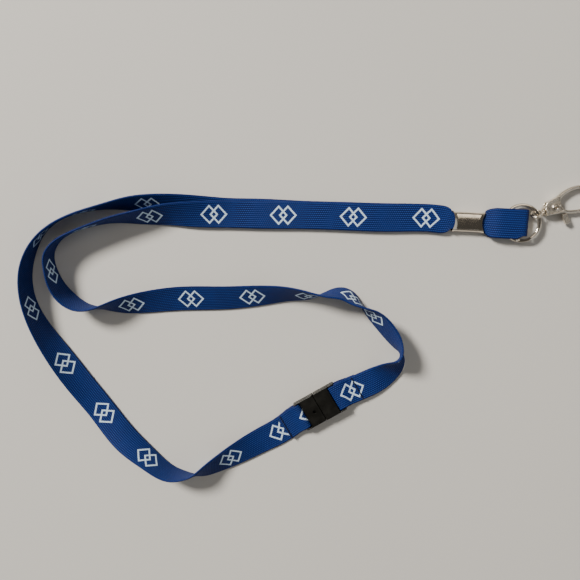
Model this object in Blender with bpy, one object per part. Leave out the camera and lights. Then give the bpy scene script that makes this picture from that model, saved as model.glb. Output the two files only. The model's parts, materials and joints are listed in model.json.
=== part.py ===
"""Neck lanyard lying on a table: woven strap, crimp, breakaway buckle, split ring and trigger clasp.

The frame: the origin is on the table under the middle of the crimp, +X runs along the crimp
towards the split ring, +Y is to the left of that, and +Z is up. Lengths below are in
millimetres and are turned into metres as each mesh is made.
"""

import math

import bmesh
import bpy
import numpy as np
from mathutils import Matrix, Vector

MM = 0.001

# Webbing: one flat woven tube, folded and gathered at the crimp.
STRAP_WIDTH = 15.0
STRAP_THICK = 1.2
EDGE_ROUND = 0.45
LOOP_WIDTH = 16.0
GATHERED_WIDTH = 8.7
SHOULDER_LENGTH = 6.0
TABLE_GAP = 0.05
RIBBON_STEP = 4.5
MOUTH_STATIONS = (0.0, 4.0, 8.3, 8.7, 8.9, 9.3, 10.0, 11.0, 12.4, 14.5)

# Crimp: a folded steel sleeve.
CRIMP_LENGTH = 17.0
CRIMP_WIDTH = 10.4
CRIMP_HEIGHT = 4.3
CRIMP_WALL = 0.5
CRIMP_RADIUS = 1.5
CRIMP_HOLLOW = 1.4
CRIMP_LIP = 0.5
LOWER_LAYER_Z = 1.4
UPPER_LAYER_Z = 2.9

# Breakaway buckle, in its own frame: x along the strap, zero at the seam of its halves.
BUCKLE_CENTRE = (-73.4, -106.6)
BUCKLE_ANGLE = 33.5
BUCKLE_HALF_WIDTH = 8.4
SOCKET_HEIGHT = 5.2
PLUG_HEIGHT = 5.6
SOCKET_END = -12.4
SOCKET_SLOT = (-11.0, -8.6)
PLUG_END = 13.0
PLUG_SLOT = (8.8, 11.4)
SLOT_HALF_WIDTH = 7.75
BAR_Z = (1.7, 3.5)
CAVITY_DEPTH = 5.9
CAVITY_HALF_WIDTH = 6.0
CAVITY_Z = (1.3, 4.2)
TONGUE_GAP = 0.3

# Split ring: two turns of flat wire.
RING_CENTRE = (28.0, 0.9, 3.3)
RING_RADIUS = 9.4
RING_WIRE_WIDE = 1.7
RING_WIRE_HIGH = 1.2
RING_TURN_GAP = 0.1

# Fold of the webbing loop that holds the split ring.
FOLD_X = 28.6
FOLD_Z = 3.05
FOLD_RADIUS = 2.3

# Trigger clasp: u runs along it from the flange's back, v to its left, w across its thickness.
EYE_CENTRE = (35.9, 6.1, 3.33)
CLASP_YAW = 23.5
CLASP_PITCH = 3.1
EYE_OUTER = 3.4
EYE_HOLE = 2.35
EYE_THICK = 1.3
EYE_BACK = 0.4
EYE_TILT = 32
EYE_TO_FLANGE = 3.6
COLLAR_RADIUS = 1.75
STEM_RADIUS = 1.1
STEM_HEAD_RADIUS = 1.6
STEM_HEAD = (1.45, 2.35)
FLANGE_RADIUS = 2.8
FLANGE_THICK = 1.2
HEAD_CAVITY = (1.2, 2.7)
HEAD_CAVITY_HALF = 1.85
CHEEK_HALF = 2.3
SLOT_HALF = 1.35
RIVET_AT = (5.7, -0.1)
RIVET_RADIUS = 0.9
RIVET_HEAD_RADIUS = 1.8
RIVET_DOME = 0.45
HUB_RADIUS = 2.2
HUB_CLEARANCE = 2.55
HOOK_HALF = 1.5
GATE_HALF = 1.05
HUB_W = (-1.1, 0.05)
SPRING_RADIUS = 1.5
SPRING_WIRE = 0.17
SPRING_W = (0.40, 1.04)

# Both runs leave the crimp the same way: x, y and how far they have come down.
CRIMP_EXIT = [(-0.3, 0, 0), (-5.0, 0.1, 0), (-8.8, 0.3, 0.06), (-12.0, 0.5, 0.42), (-15.8, 0.8, 0.7)]

# Route of the long outer run, from the crimp to the buckle's socket: x, y and the roll of the
# strap about its own line in degrees, where 0 is flat and face up and -180 flat and face down.
OUTER_ROUTE = [
    (-20, 1, 0), (-41.5, 0.5, 0), (-65.5, 0, 0), (-90, -0.5, 0), (-112, -0.5, 0),
    (-131.5, -1, -3), (-150.5, 0, -22), (-166.5, 1, -44), (-181.5, 0.5, -62),
    (-194.5, -1.5, -81), (-210.5, -5.5, -95), (-223, -11, -101), (-231.5, -18, -100),
    (-237.5, -28, -93), (-240.5, -39, -89), (-239.5, -54, -85), (-232, -71, -70),
    (-222, -86, -48), (-210, -102.5, -24), (-197, -118, -14), (-183, -132.5, -34),
    (-167.5, -143.5, -62), (-154.5, -150.5, -80), (-148, -151, -93), (-142.5, -150.5, -107),
    (-137, -148.5, -122), (-132, -145.5, -132), (-120, -138, -153), (-104.5, -128.5, -172),
    (-92, -120.5, -180),
]

# Route of the inner run, from the crimp to the buckle's plug, with its height above flat rest.
INNER_ROUTE = [
    (-20, 1, 0, 1.5), (-41.5, 0, 0, 1.5), (-65.5, -0.5, 0, 1.5), (-90, -1, 0, 1.5),
    (-112, -2, 0, 1.5), (-131, -2.5, -5, 1.5), (-147.5, -3.5, -22, 1.3),
    (-163.5, -4.5, -42, 0.5), (-177, -6.5, -61, 0), (-192.5, -9, -81, 0),
    (-204.5, -12.5, -92, 0), (-215.5, -17, -97, 0), (-223.5, -22.5, -97, 0),
    (-227.5, -30, -93, 0), (-226.5, -38, -88, 0), (-223.5, -45.5, -80, 0),
    (-217.5, -53, -73, 0), (-208, -58, -81, 0), (-199, -58, -97, 0),
    (-189.5, -56.5, -121, 0), (-173.5, -53.5, -147, 0), (-154.5, -50.5, -158, 0),
    (-129, -48.5, -154, 0), (-107, -45.5, -140, 0), (-93, -44, -124, 0),
    (-81.5, -44, -108, 0), (-71, -42.5, -80, 0), (-64.5, -42, -70, 0),
    (-58, -45, -73, 0), (-54, -48, -90, 0), (-48, -52, -114, 0), (-39.3, -60.2, -124, 0),
    (-32.4, -69.8, -104, 0), (-31.1, -73.8, -84, 0), (-32.6, -78.2, -54, 0),
    (-37, -84, -27, 0), (-43, -89.3, -6, 0.6), (-50.5, -93.5, 0, 1.5),
]


# ---- scene, materials and placing -------------------------------------------------------

def clear_scene():
    for found in list(bpy.data.objects):
        bpy.data.objects.remove(found, do_unlink=True)


def make_material(name, colour, roughness, metallic):
    material = bpy.data.materials.new(name)
    material.use_nodes = True
    shader = material.node_tree.nodes["Principled BSDF"]
    shader.inputs["Base Color"].default_value = (*colour, 1.0)
    shader.inputs["Roughness"].default_value = roughness
    shader.inputs["Metallic"].default_value = metallic
    material.diffuse_color = (*colour, 1.0)
    return material


def make_pivot(name, matrix):
    """An empty that holds a joint's axis or a sub-assembly's frame. Its offset is in mm."""
    pivot = bpy.data.objects.new(name, None)
    bpy.context.scene.collection.objects.link(pivot)
    placed = matrix.copy()
    placed.translation = matrix.translation * MM
    pivot.matrix_world = placed
    bpy.context.view_layer.update()
    return pivot


def add_object(name, mesh_data, material, parent=None, location=(0, 0, 0)):
    """Turns a bmesh in millimetres into a named object with smooth round faces."""
    bmesh.ops.scale(mesh_data, vec=(MM, MM, MM), verts=mesh_data.verts)
    bmesh.ops.recalc_face_normals(mesh_data, faces=mesh_data.faces)
    mesh = bpy.data.meshes.new(name)
    mesh_data.to_mesh(mesh)
    mesh_data.free()
    mesh.shade_smooth()
    mesh.set_sharp_from_angle(angle=math.radians(35))
    built = bpy.data.objects.new(name, mesh)
    bpy.context.scene.collection.objects.link(built)
    if material is not None:
        mesh.materials.append(material)
    built.parent = parent
    built.location = Vector(location) * MM
    return built


def add_cutter(name, mesh_data, parent=None):
    cutter = add_object(name, mesh_data, None, parent)
    cutter.hide_render = True
    cutter.display_type = "WIRE"
    return cutter


def combine(target, other, operation):
    modifier = target.modifiers.new(f"{operation.lower()} {other.name}", "BOOLEAN")
    modifier.operation = operation
    modifier.solver = "EXACT"
    modifier.object = other


def frame_matrix(origin, x_axis, y_axis):
    """A frame whose z axis is the cross product of the two given."""
    x_axis = Vector(x_axis).normalized()
    z_axis = x_axis.cross(Vector(y_axis)).normalized()
    y_axis = z_axis.cross(x_axis)
    turned = Matrix((x_axis, y_axis, z_axis)).transposed().to_4x4()
    turned.translation = Vector(origin)
    return turned


# ---- shapes -----------------------------------------------------------------------------

def loft(rings):
    """Joins rings of points, each with the same count, and closes both ends."""
    built = bmesh.new()
    rows = [[built.verts.new(point) for point in ring] for ring in rings]
    count = len(rows[0])
    for first, second in zip(rows, rows[1:]):
        for i in range(count):
            j = (i + 1) % count
            built.faces.new((first[i], first[j], second[j], second[i]))
    built.faces.new(list(reversed(rows[0])))
    built.faces.new(rows[-1])
    return built


def box(low, high, bevel=0.0):
    built = bmesh.new()
    size = Vector(high) - Vector(low)
    middle = (Vector(high) + Vector(low)) / 2
    placed = Matrix.Translation(middle) @ Matrix.Diagonal((*size, 1.0))
    bmesh.ops.create_cube(built, size=1.0, matrix=placed)
    if bevel:
        bmesh.ops.bevel(
            built, geom=built.edges[:], offset=bevel, segments=2, profile=0.5, affect="EDGES",
        )
    return built


def prism(outline, low, high):
    """Extrudes an outline of (u, v) points from one height to another."""
    return loft([[Vector((u, v, w)) for u, v in outline] for w in (low, high)])


def disc_outline(centre, radius, count=32):
    turn = 2 * math.pi / count
    return [
        (centre[0] + radius * math.cos(i * turn), centre[1] + radius * math.sin(i * turn))
        for i in range(count)
    ]


def rounded_section(half_wide, half_high, round_off):
    """Eight points round a flat bar's section, as (across, up)."""
    flat = half_wide - round_off
    side = half_high - round_off
    return [
        (-half_wide, -side), (-flat, -half_high), (flat, -half_high), (half_wide, -side),
        (half_wide, side), (flat, half_high), (-flat, half_high), (-half_wide, side),
    ]


def natural_cubic(points, step, first_stations=()):
    """Points about a step apart on the natural cubic spline through a route's points.

    The first stations are distances along the line where points are wanted closer together.
    """
    points = np.asarray(points, float)
    gaps = np.linalg.norm(np.diff(points[:, :3], axis=0), axis=1)
    along = np.concatenate([[0.0], np.cumsum(gaps)])
    count = len(points)
    system = np.eye(count)
    right = np.zeros_like(points)
    for i in range(1, count - 1):
        before, after = gaps[i - 1], gaps[i]
        system[i, i - 1:i + 2] = before, 2 * (before + after), after
        rise = (points[i + 1] - points[i]) / after - (points[i] - points[i - 1]) / before
        right[i] = 6 * rise
    bend = np.linalg.solve(system, right)
    start = first_stations[-1] if first_stations else 0.0
    regular = np.linspace(start, along[-1], max(2, round((along[-1] - start) / step) + 1))
    wanted = np.concatenate([first_stations[:-1], regular])
    span = np.clip(np.searchsorted(along, wanted, side="right") - 1, 0, count - 2)
    gap = gaps[span][:, None]
    to_end = (along[span + 1] - wanted)[:, None]
    from_start = (wanted - along[span])[:, None]
    curved = (bend[span] * to_end**3 + bend[span + 1] * from_start**3) / (6 * gap)
    first = (points[span] / gap - bend[span] * gap / 6) * to_end
    second = (points[span + 1] / gap - bend[span + 1] * gap / 6) * from_start
    return curved + first + second


def rest_height(roll, lift):
    """Height of a strap's middle line when its lower edge or face is just above the table."""
    turned = math.radians(roll)
    edge = abs(math.sin(turned)) * STRAP_WIDTH / 2
    face = abs(math.cos(turned)) * STRAP_THICK / 2
    return edge + face + TABLE_GAP + lift


def gathered_half(distance, full_half):
    """Half width of webbing at a distance from the crimp's mouth: a quarter round shoulder."""
    if distance <= 0:
        return GATHERED_WIDTH / 2
    part = min(distance / SHOULDER_LENGTH, 1.0)
    return GATHERED_WIDTH / 2 + (full_half - GATHERED_WIDTH / 2) * math.sqrt(1 - (1 - part)**2)


def ribbon(centres, acrosses, left_halves, right_halves):
    """A flat strap along a line. Each section is turned to the line and to its own across."""
    rings = []
    last = len(centres) - 1
    for i, centre in enumerate(centres):
        along = (centres[min(i + 1, last)] - centres[max(i - 1, 0)]).normalized()
        across = (acrosses[i] - along * acrosses[i].dot(along)).normalized()
        up = along.cross(across)
        left, right = left_halves[i], right_halves[i]
        half = STRAP_THICK / 2
        corners = [
            (-right, 0.0), (-right + EDGE_ROUND, -half), (left - EDGE_ROUND, -half),
            (left, 0.0), (left - EDGE_ROUND, half), (-right + EDGE_ROUND, half),
        ]
        rings.append([centre + across * a + up * b for a, b in corners])
    return loft(rings)


def run_ribbon(stations):
    """The ribbon of a long run, whose stations are x, y, z and roll."""
    centres = [Vector(row[:3]) for row in stations]
    last = len(centres) - 1
    acrosses = []
    halves = []
    for i, row in enumerate(stations):
        ahead = centres[min(i + 1, last)] - centres[max(i - 1, 0)]
        left = Vector((-ahead.y, ahead.x, 0)).normalized()
        roll = math.radians(row[3])
        acrosses.append(left * math.cos(roll) + Vector((0, 0, math.sin(roll))))
        mouth = -row[0] - CRIMP_LENGTH / 2 - 0.3
        halves.append(gathered_half(mouth, STRAP_WIDTH / 2))
    return ribbon(centres, acrosses, halves, halves)


def folded_ribbon(path, frame, half=STRAP_WIDTH / 2):
    """A strap that bends only up and down: path is (x, z), or (x, z, y), in the given frame."""
    centres = [frame @ Vector((row[0], row[2] if len(row) > 2 else 0.0, row[1])) for row in path]
    across = frame.to_3x3() @ Vector((0, 1, 0))
    count = len(centres)
    return ribbon(centres, [across] * count, [half] * count, [half] * count)


def swept_bar(path, half_wides, half_high, round_off):
    """A bar along a flat path of (u, v) points, with its own half width at each point."""
    rings = []
    last = len(path) - 1
    for i, point in enumerate(path):
        ahead = Vector(path[min(i + 1, last)]) - Vector(path[max(i - 1, 0)])
        normal = Vector((-ahead[1], ahead[0])).normalized()
        section = rounded_section(half_wides[i], half_high, round_off)
        rings.append([
            Vector((point[0] + normal[0] * a, point[1] + normal[1] * a, b)) for a, b in section
        ])
    return loft(rings)


def tube(points, radius, sides=8, squash=1.0):
    """A thin round wire or thread through the given points."""
    rings = []
    last = len(points) - 1
    side = None
    for i, point in enumerate(points):
        along = (points[min(i + 1, last)] - points[max(i - 1, 0)]).normalized()
        if side is None:
            side = along.orthogonal().normalized()
        side = (side - along * side.dot(along)).normalized()
        up = along.cross(side)
        turn = 2 * math.pi / sides
        rings.append([
            point + side * (radius * math.cos(k * turn)) + up * (radius * squash * math.sin(k * turn))
            for k in range(sides)
        ])
    return loft(rings)


# ---- webbing ----------------------------------------------------------------------------

def buckle_frame():
    turn = math.radians(BUCKLE_ANGLE)
    along = (math.cos(turn), math.sin(turn), 0)
    across = (-math.sin(turn), math.cos(turn), 0)
    return frame_matrix((*BUCKLE_CENTRE, 0), along, across)


def in_buckle(x, y, z):
    return tuple(buckle_frame() @ Vector((x, y, z)))


def outer_stations():
    """The outer run: out of the crimp, round the big bend and in under the socket's bar."""
    start = [(x, y, LOWER_LAYER_Z - drop, 0) for x, y, drop in CRIMP_EXIT]
    middle = [(x, y, rest_height(roll, 0), roll) for x, y, roll in OUTER_ROUTE]
    flat = rest_height(180, 0)
    end = [(*in_buckle(x, 0, flat), -180) for x in (-14.5, -9.0)]
    return natural_cubic(start + middle + end, RIBBON_STEP, MOUTH_STATIONS)


def inner_stations():
    """The inner run: on top of the outer one, then on its own, and up over the plug's bar."""
    start = [(x, y, UPPER_LAYER_Z - drop, 0) for x, y, drop in CRIMP_EXIT]
    middle = [(x, y, rest_height(roll, lift), roll) for x, y, roll, lift in INNER_ROUTE]
    over_bar = [(19.0, -0.9, 2.5), (15.5, -0.2, 3.8), (12.6, 0, 4.4), (9.4, 0, 4.4)]
    end = [(*in_buckle(*point), 0) for point in over_bar]
    return natural_cubic(start + middle + end, RIBBON_STEP, MOUTH_STATIONS)


def make_outer_run(material):
    return add_object("webbing_outer_run", run_ribbon(outer_stations()), material)


def make_inner_run(material):
    return add_object("webbing_inner_run", run_ribbon(inner_stations()), material)


def make_socket_side_end(material):
    """The outer run's end: up through the socket's slot, over the bar and back on the strap."""
    path = [
        (-9.75, 1.6), (-9.75, 2.6), (-9.85, 3.4), (-10.4, 4.1), (-11.3, 4.35), (-12.4, 4.3),
        (-13.6, 3.9), (-15.0, 3.2), (-16.6, 2.6), (-18.6, 2.25), (-21.2, 2.15), (-23.8, 2.15),
    ]
    sides = [0, 0, 0, 0, 0, 0, -0.05, -0.15, -0.35, -0.6, -0.95, -1.3]
    rows = [(x, z, y) for (x, z), y in zip(path, sides)]
    return add_object("webbing_end_socket_side", folded_ribbon(rows, buckle_frame()), material)


def make_plug_side_end(material, parent):
    """The inner run's end: down through the plug's slot, under the bar and back below."""
    path = [
        (10.05, 3.4), (10.05, 2.4), (10.15, 1.6), (10.55, 1.0), (11.4, 0.68), (13.0, 0.65),
        (16.0, 0.65), (19.0, 0.65), (22.0, 0.65), (24.6, 0.65),
    ]
    sides = [0, 0, 0, 0, 0, 0, -0.25, -0.85, -1.3, -1.6]
    rows = [(x, z, y) for (x, z), y in zip(path, sides)]
    mesh_data = folded_ribbon(rows, Matrix.Identity(4))
    return add_object("webbing_end_plug_side", mesh_data, material, parent)


def loop_path():
    """The loop's middle line as (x, z): out of the crimp, round the fold and back in."""
    turn = [math.pi * (i / 10 - 0.5) for i in range(11)]
    fold = [
        (FOLD_X + FOLD_RADIUS * math.cos(a), FOLD_Z + FOLD_RADIUS * math.sin(a)) for a in turn
    ]
    low = fold[0][1]
    high = fold[-1][1]
    lower = [
        (0.3, LOWER_LAYER_Z), (4.5, LOWER_LAYER_Z), (8.7, LOWER_LAYER_Z - 0.03), (9.2, 1.33),
        (10.0, 1.2), (11.2, 1.0), (13.0, 0.85), (15.5, low + 0.03), (19.0, low),
        (22.5, low), (25.5, low),
    ]
    upper = [
        (25.5, high), (22.5, high), (19.0, high), (16.8, high - 0.12), (14.6, 4.8), (12.6, 4.15),
        (11.2, 3.65), (10.0, 3.28), (9.2, 3.07), (8.7, 2.97), (4.5, UPPER_LAYER_Z),
        (0.3, UPPER_LAYER_Z),
    ]
    return lower + fold + upper


def make_ring_loop(material):
    """The short loop that holds the ring, pulled in at its right corner by the ring's wire."""
    path = loop_path()
    centres = [Vector((x, 0.15 if x > 10 else 0.0, z)) for x, z in path]
    lefts = [gathered_half(x - CRIMP_LENGTH / 2 - 0.3, LOOP_WIDTH / 2) for x, _ in path]
    rights = []
    for (x, _), left in zip(path, lefts):
        pulled = min(max((x - 25.0) / 4.5, 0.0), 1.0)
        rights.append(left - 1.75 * pulled * pulled * (3 - 2 * pulled))
    across = Vector((0, 1, 0))
    mesh_data = ribbon(centres, [across] * len(path), lefts, rights)
    return add_object("webbing_ring_loop", mesh_data, material)


# ---- crimp ------------------------------------------------------------------------------

def crimp_profile():
    """The sleeve's section as (outer, inner) points, from one side of the seam to the other."""
    half_wide = CRIMP_WIDTH / 2
    seam = (2.6, 2.9)
    corners = [
        (half_wide - CRIMP_RADIUS, CRIMP_RADIUS, -90),
        (half_wide - CRIMP_RADIUS, CRIMP_HEIGHT - CRIMP_RADIUS, 0),
        (CRIMP_RADIUS - half_wide, CRIMP_HEIGHT - CRIMP_RADIUS, 90),
        (CRIMP_RADIUS - half_wide, CRIMP_RADIUS, 180),
    ]
    profile = [((seam[1], 0.0), (seam[1], CRIMP_WALL))]
    for y, z, start in corners:
        for i in range(5):
            turn = math.radians(start + i * 22.5)
            reach = Vector((math.cos(turn), math.sin(turn)))
            outer = Vector((y, z)) + reach * CRIMP_RADIUS
            inner = Vector((y, z)) + reach * (CRIMP_RADIUS - CRIMP_WALL)
            profile.append((tuple(outer), tuple(inner)))
        if start == 0:
            for y_top in (1.9, 0.0, -1.9):
                profile.append(((y_top, CRIMP_HEIGHT), (y_top, CRIMP_HEIGHT - CRIMP_WALL)))
        if start == 180:
            for y_low in (-1.9, 0.4):
                profile.append(((y_low, 0.0), (y_low, CRIMP_WALL)))
    profile.append(((seam[0], 0.0), (seam[0], CRIMP_WALL)))
    return profile


def make_crimp(material):
    """A folded sheet with rolled lips on its top and sides, hollowed ends and a seam below."""
    profile = crimp_profile()
    built = bmesh.new()
    steps = [-1.0, -0.94, -0.86, -0.78, -0.4, 0.4, 0.78, 0.86, 0.94, 1.0]
    flares = [1.0, 0.55, 0.12, 0, 0, 0, 0, 0.12, 0.55, 1.0]
    outer_rows = []
    inner_rows = []
    for step, flare in zip(steps, flares):
        outer_row = []
        inner_row = []
        for outer, inner in profile:
            reach = CRIMP_LENGTH / 2 - CRIMP_HOLLOW * (1 - (outer[0] / (CRIMP_WIDTH / 2))**2)
            normal = (Vector(outer) - Vector(inner)).normalized()
            raised = min(outer[1] / CRIMP_RADIUS, 1.0)
            shift = normal * (CRIMP_LIP * flare * raised)
            for row, place in ((outer_row, outer), (inner_row, inner)):
                moved = Vector(place) + shift
                row.append(built.verts.new((step * reach, moved[0], moved[1])))
        outer_rows.append(outer_row)
        inner_rows.append(inner_row)
    count = len(profile)
    for i in range(len(steps) - 1):
        for j in range(count - 1):
            for rows in (outer_rows, inner_rows):
                built.faces.new((rows[i][j], rows[i][j + 1], rows[i + 1][j + 1], rows[i + 1][j]))
        for j in (0, count - 1):
            built.faces.new(
                (outer_rows[i][j], outer_rows[i + 1][j], inner_rows[i + 1][j], inner_rows[i][j])
            )
    for i in (0, len(steps) - 1):
        for j in range(count - 1):
            built.faces.new(
                (outer_rows[i][j], outer_rows[i][j + 1], inner_rows[i][j + 1], inner_rows[i][j])
            )
    return add_object("crimp_sleeve", built, material)


# ---- breakaway buckle -------------------------------------------------------------------

def cut_strap_slot(half, prefix, slot, bar_end, height, parent):
    """Opens the slot that the webbing goes through, and leaves the bar thinner than the frame."""
    low, high = slot
    through = box((low, -SLOT_HALF_WIDTH, -1), (high, SLOT_HALF_WIDTH, height + 1))
    combine(half, add_cutter(f"{prefix}_slot_cutter", through, parent), "DIFFERENCE")
    outer_x = bar_end + math.copysign(1.0, bar_end)
    inner_x = high if bar_end > 0 else low
    overlap_x = inner_x - math.copysign(0.5, bar_end)
    x_low, x_high = sorted((overlap_x, outer_x))
    above = box((x_low, -SLOT_HALF_WIDTH, BAR_Z[1]), (x_high, SLOT_HALF_WIDTH, height + 1))
    below = box((x_low, -SLOT_HALF_WIDTH, -1), (x_high, SLOT_HALF_WIDTH, BAR_Z[0]))
    combine(half, add_cutter(f"{prefix}_over_bar_cutter", above, parent), "DIFFERENCE")
    combine(half, add_cutter(f"{prefix}_under_bar_cutter", below, parent), "DIFFERENCE")


def make_socket(material, parent):
    """The female half: a flat case whose mouth takes the plug's tongue, with a detent hole."""
    low = (SOCKET_END, -BUCKLE_HALF_WIDTH, 0)
    high = (-0.1, BUCKLE_HALF_WIDTH, SOCKET_HEIGHT)
    socket = add_object("buckle_socket", box(low, high, 0.5), material, parent)
    cut_strap_slot(socket, "socket", SOCKET_SLOT, SOCKET_END, SOCKET_HEIGHT, parent)
    cavity = box(
        (-CAVITY_DEPTH, -CAVITY_HALF_WIDTH, CAVITY_Z[0]), (1, CAVITY_HALF_WIDTH, CAVITY_Z[1]),
    )
    combine(socket, add_cutter("socket_cavity_cutter", cavity, parent), "DIFFERENCE")
    detent = prism(disc_outline((-3.6, -0.8), 1.0, 16), CAVITY_Z[1] - 0.5, SOCKET_HEIGHT + 1)
    combine(socket, add_cutter("socket_detent_cutter", detent, parent), "DIFFERENCE")
    return socket


def make_plug(material, parent):
    """The male half: a body with its strap bar and a tongue that snaps into the socket."""
    low = (0.15, -BUCKLE_HALF_WIDTH, 0)
    high = (PLUG_END, BUCKLE_HALF_WIDTH, PLUG_HEIGHT)
    plug = add_object("buckle_plug", box(low, high, 0.5), material, parent)
    cut_strap_slot(plug, "plug", PLUG_SLOT, PLUG_END, PLUG_HEIGHT, parent)
    half = CAVITY_HALF_WIDTH - TONGUE_GAP
    tongue = box(
        (TONGUE_GAP - CAVITY_DEPTH, -half, CAVITY_Z[0] + TONGUE_GAP),
        (1.5, half, CAVITY_Z[1] - TONGUE_GAP), 0.25,
    )
    combine(plug, add_cutter("plug_tongue", tongue, parent), "UNION")
    bump = prism(disc_outline((-3.6, -0.8), 0.7, 16), 2.5, CAVITY_Z[1] - 0.05)
    combine(plug, add_cutter("plug_bump", bump, parent), "UNION")
    return plug


def make_stitching(name, material, x, y_middle, z, parent):
    """One thread laid across the strap's upper face where its end is sewn down."""
    half = STRAP_WIDTH / 2 - 1.0
    count = 27
    points = [
        Vector((
            x + 0.28 * math.cos(i * math.pi),
            y_middle - half + 2 * half * i / (count - 1),
            z,
        ))
        for i in range(count)
    ]
    return add_object(name, tube(points, 0.2, 6), material, parent)


# ---- split ring -------------------------------------------------------------------------

def make_split_ring(material, parent):
    """Flat wire in nearly two turns, which steps up from the lower turn to the upper one."""
    end_gap = math.radians(22)
    start = math.radians(-75)
    level = (RING_WIRE_HIGH + RING_TURN_GAP) / 2
    count = 116
    rings = []
    for i in range(count + 1):
        turned = end_gap + (4 * math.pi - 2 * end_gap) * i / count
        part = min(max((turned - (2 * math.pi - end_gap)) / (2 * end_gap), 0.0), 1.0)
        height = level * (2 * part * part * (3 - 2 * part) - 1)
        out = Vector((math.cos(start + turned), math.sin(start + turned), 0))
        section = rounded_section(RING_WIRE_WIDE / 2, RING_WIRE_HIGH / 2, 0.3)
        rings.append([out * (RING_RADIUS + a) + Vector((0, 0, height + b)) for a, b in section])
    return add_object("split_ring", loft(rings), material, parent)


# ---- trigger clasp ----------------------------------------------------------------------

def clasp_frame():
    """The clasp's axes in the world, with its origin at the swivel eye's centre."""
    yaw = math.radians(CLASP_YAW)
    pitch = math.radians(CLASP_PITCH)
    flat = Vector((math.cos(yaw), math.sin(yaw), 0))
    along = flat * math.cos(pitch) - Vector((0, 0, math.sin(pitch)))
    left = Vector((-math.sin(yaw), math.cos(yaw), 0))
    return frame_matrix(EYE_CENTRE, along, left)


def turned_about_u(mesh_data):
    """Stands a shape made along w up so that its height runs along u."""
    turn = Matrix.Rotation(math.radians(90), 4, "Y")
    bmesh.ops.transform(mesh_data, matrix=turn, verts=mesh_data.verts)
    return mesh_data


def cylinder_along_u(radius, start, end, count=24):
    return turned_about_u(prism(disc_outline((0, 0), radius, count), start, end))


def make_swivel_eye(material, parent):
    """A leaning flat eye on the ring's wire, with a stem whose peened head turns in the clasp."""
    back = Matrix.Translation((-EYE_BACK, 0, 0))
    stand = back @ Matrix.Rotation(math.radians(90 + EYE_TILT), 4, "X")
    flat = prism(disc_outline((0, 0), EYE_OUTER, 36), -EYE_THICK / 2, EYE_THICK / 2)
    bmesh.ops.transform(flat, matrix=stand, verts=flat.verts)
    bmesh.ops.bevel(
        flat,
        geom=[e for e in flat.edges if e.calc_face_angle(0) > 1.0],
        offset=0.3, segments=2, profile=0.5, affect="EDGES",
    )
    eye = add_object("swivel_eye", flat, material, parent)
    hole = prism(disc_outline((0, 0), EYE_HOLE, 28), -2, 2)
    bmesh.ops.transform(hole, matrix=stand, verts=hole.verts)
    combine(eye, add_cutter("eye_hole_cutter", hole, parent), "DIFFERENCE")
    rim = EYE_OUTER - EYE_BACK
    profile = [
        (rim - 0.75, 0.55), (rim - 0.4, STEM_RADIUS), (rim - 0.15, COLLAR_RADIUS),
        (rim + 0.25, COLLAR_RADIUS), (rim + 0.35, COLLAR_RADIUS - 0.15),
        (rim + 0.35, STEM_RADIUS),
        (EYE_TO_FLANGE + STEM_HEAD[0], STEM_RADIUS),
        (EYE_TO_FLANGE + STEM_HEAD[0], STEM_HEAD_RADIUS - 0.1),
        (EYE_TO_FLANGE + STEM_HEAD[0] + 0.15, STEM_HEAD_RADIUS),
        (EYE_TO_FLANGE + STEM_HEAD[1] - 0.3, STEM_HEAD_RADIUS),
        (EYE_TO_FLANGE + STEM_HEAD[1], STEM_HEAD_RADIUS - 0.4),
    ]
    turn = 2 * math.pi / 20
    rings = [
        [Vector((u, r * math.cos(k * turn), r * math.sin(k * turn))) for k in range(20)]
        for u, r in profile
    ]
    combine(eye, add_cutter("eye_stem", loft(rings), parent), "UNION")
    return eye


def wedge_outline():
    """The clasp's cheeks: a wedge from the flange to the hook's root, hollow on its right."""
    return [
        (0.9, -2.6), (10.6, -4.2), (9.9, -2.9), (9.1, -1.2), (8.8, 0.6), (9.0, 2.4),
        (9.9, 5.15), (2.4, 4.1), (0.9, 2.6),
    ]


def gate_slot_outline():
    """The slot between the cheeks: round about the rivet and open on the right and below."""
    u0, v0 = RIVET_AT
    turn = [math.radians(a) for a in range(80, 281, 20)]
    back = [(u0 + HUB_CLEARANCE * math.cos(a), v0 + HUB_CLEARANCE * math.sin(a)) for a in turn]
    return back + [(u0 + 0.6, -8), (14, -8), (14, v0 + HUB_CLEARANCE + 0.2)]


def hook_path():
    """The hook's middle line, smooth through its own points, with half widths."""
    points = [
        (6.5, 3.1), (9.0, 4.2), (12, 5.4), (17, 6.3), (22, 5.6), (26, 3.4), (28.3, 0),
        (28.3, -3.0), (27.1, -5.5),
    ]
    rows = natural_cubic([(u, v, 0) for u, v in points], 1.6)
    path = [(row[0], row[1]) for row in rows]
    count = len(path)
    halves = [1.15 - 0.3 * i / (count - 1) for i in range(count)]
    halves[-1] = 0.6
    return path, halves


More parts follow.
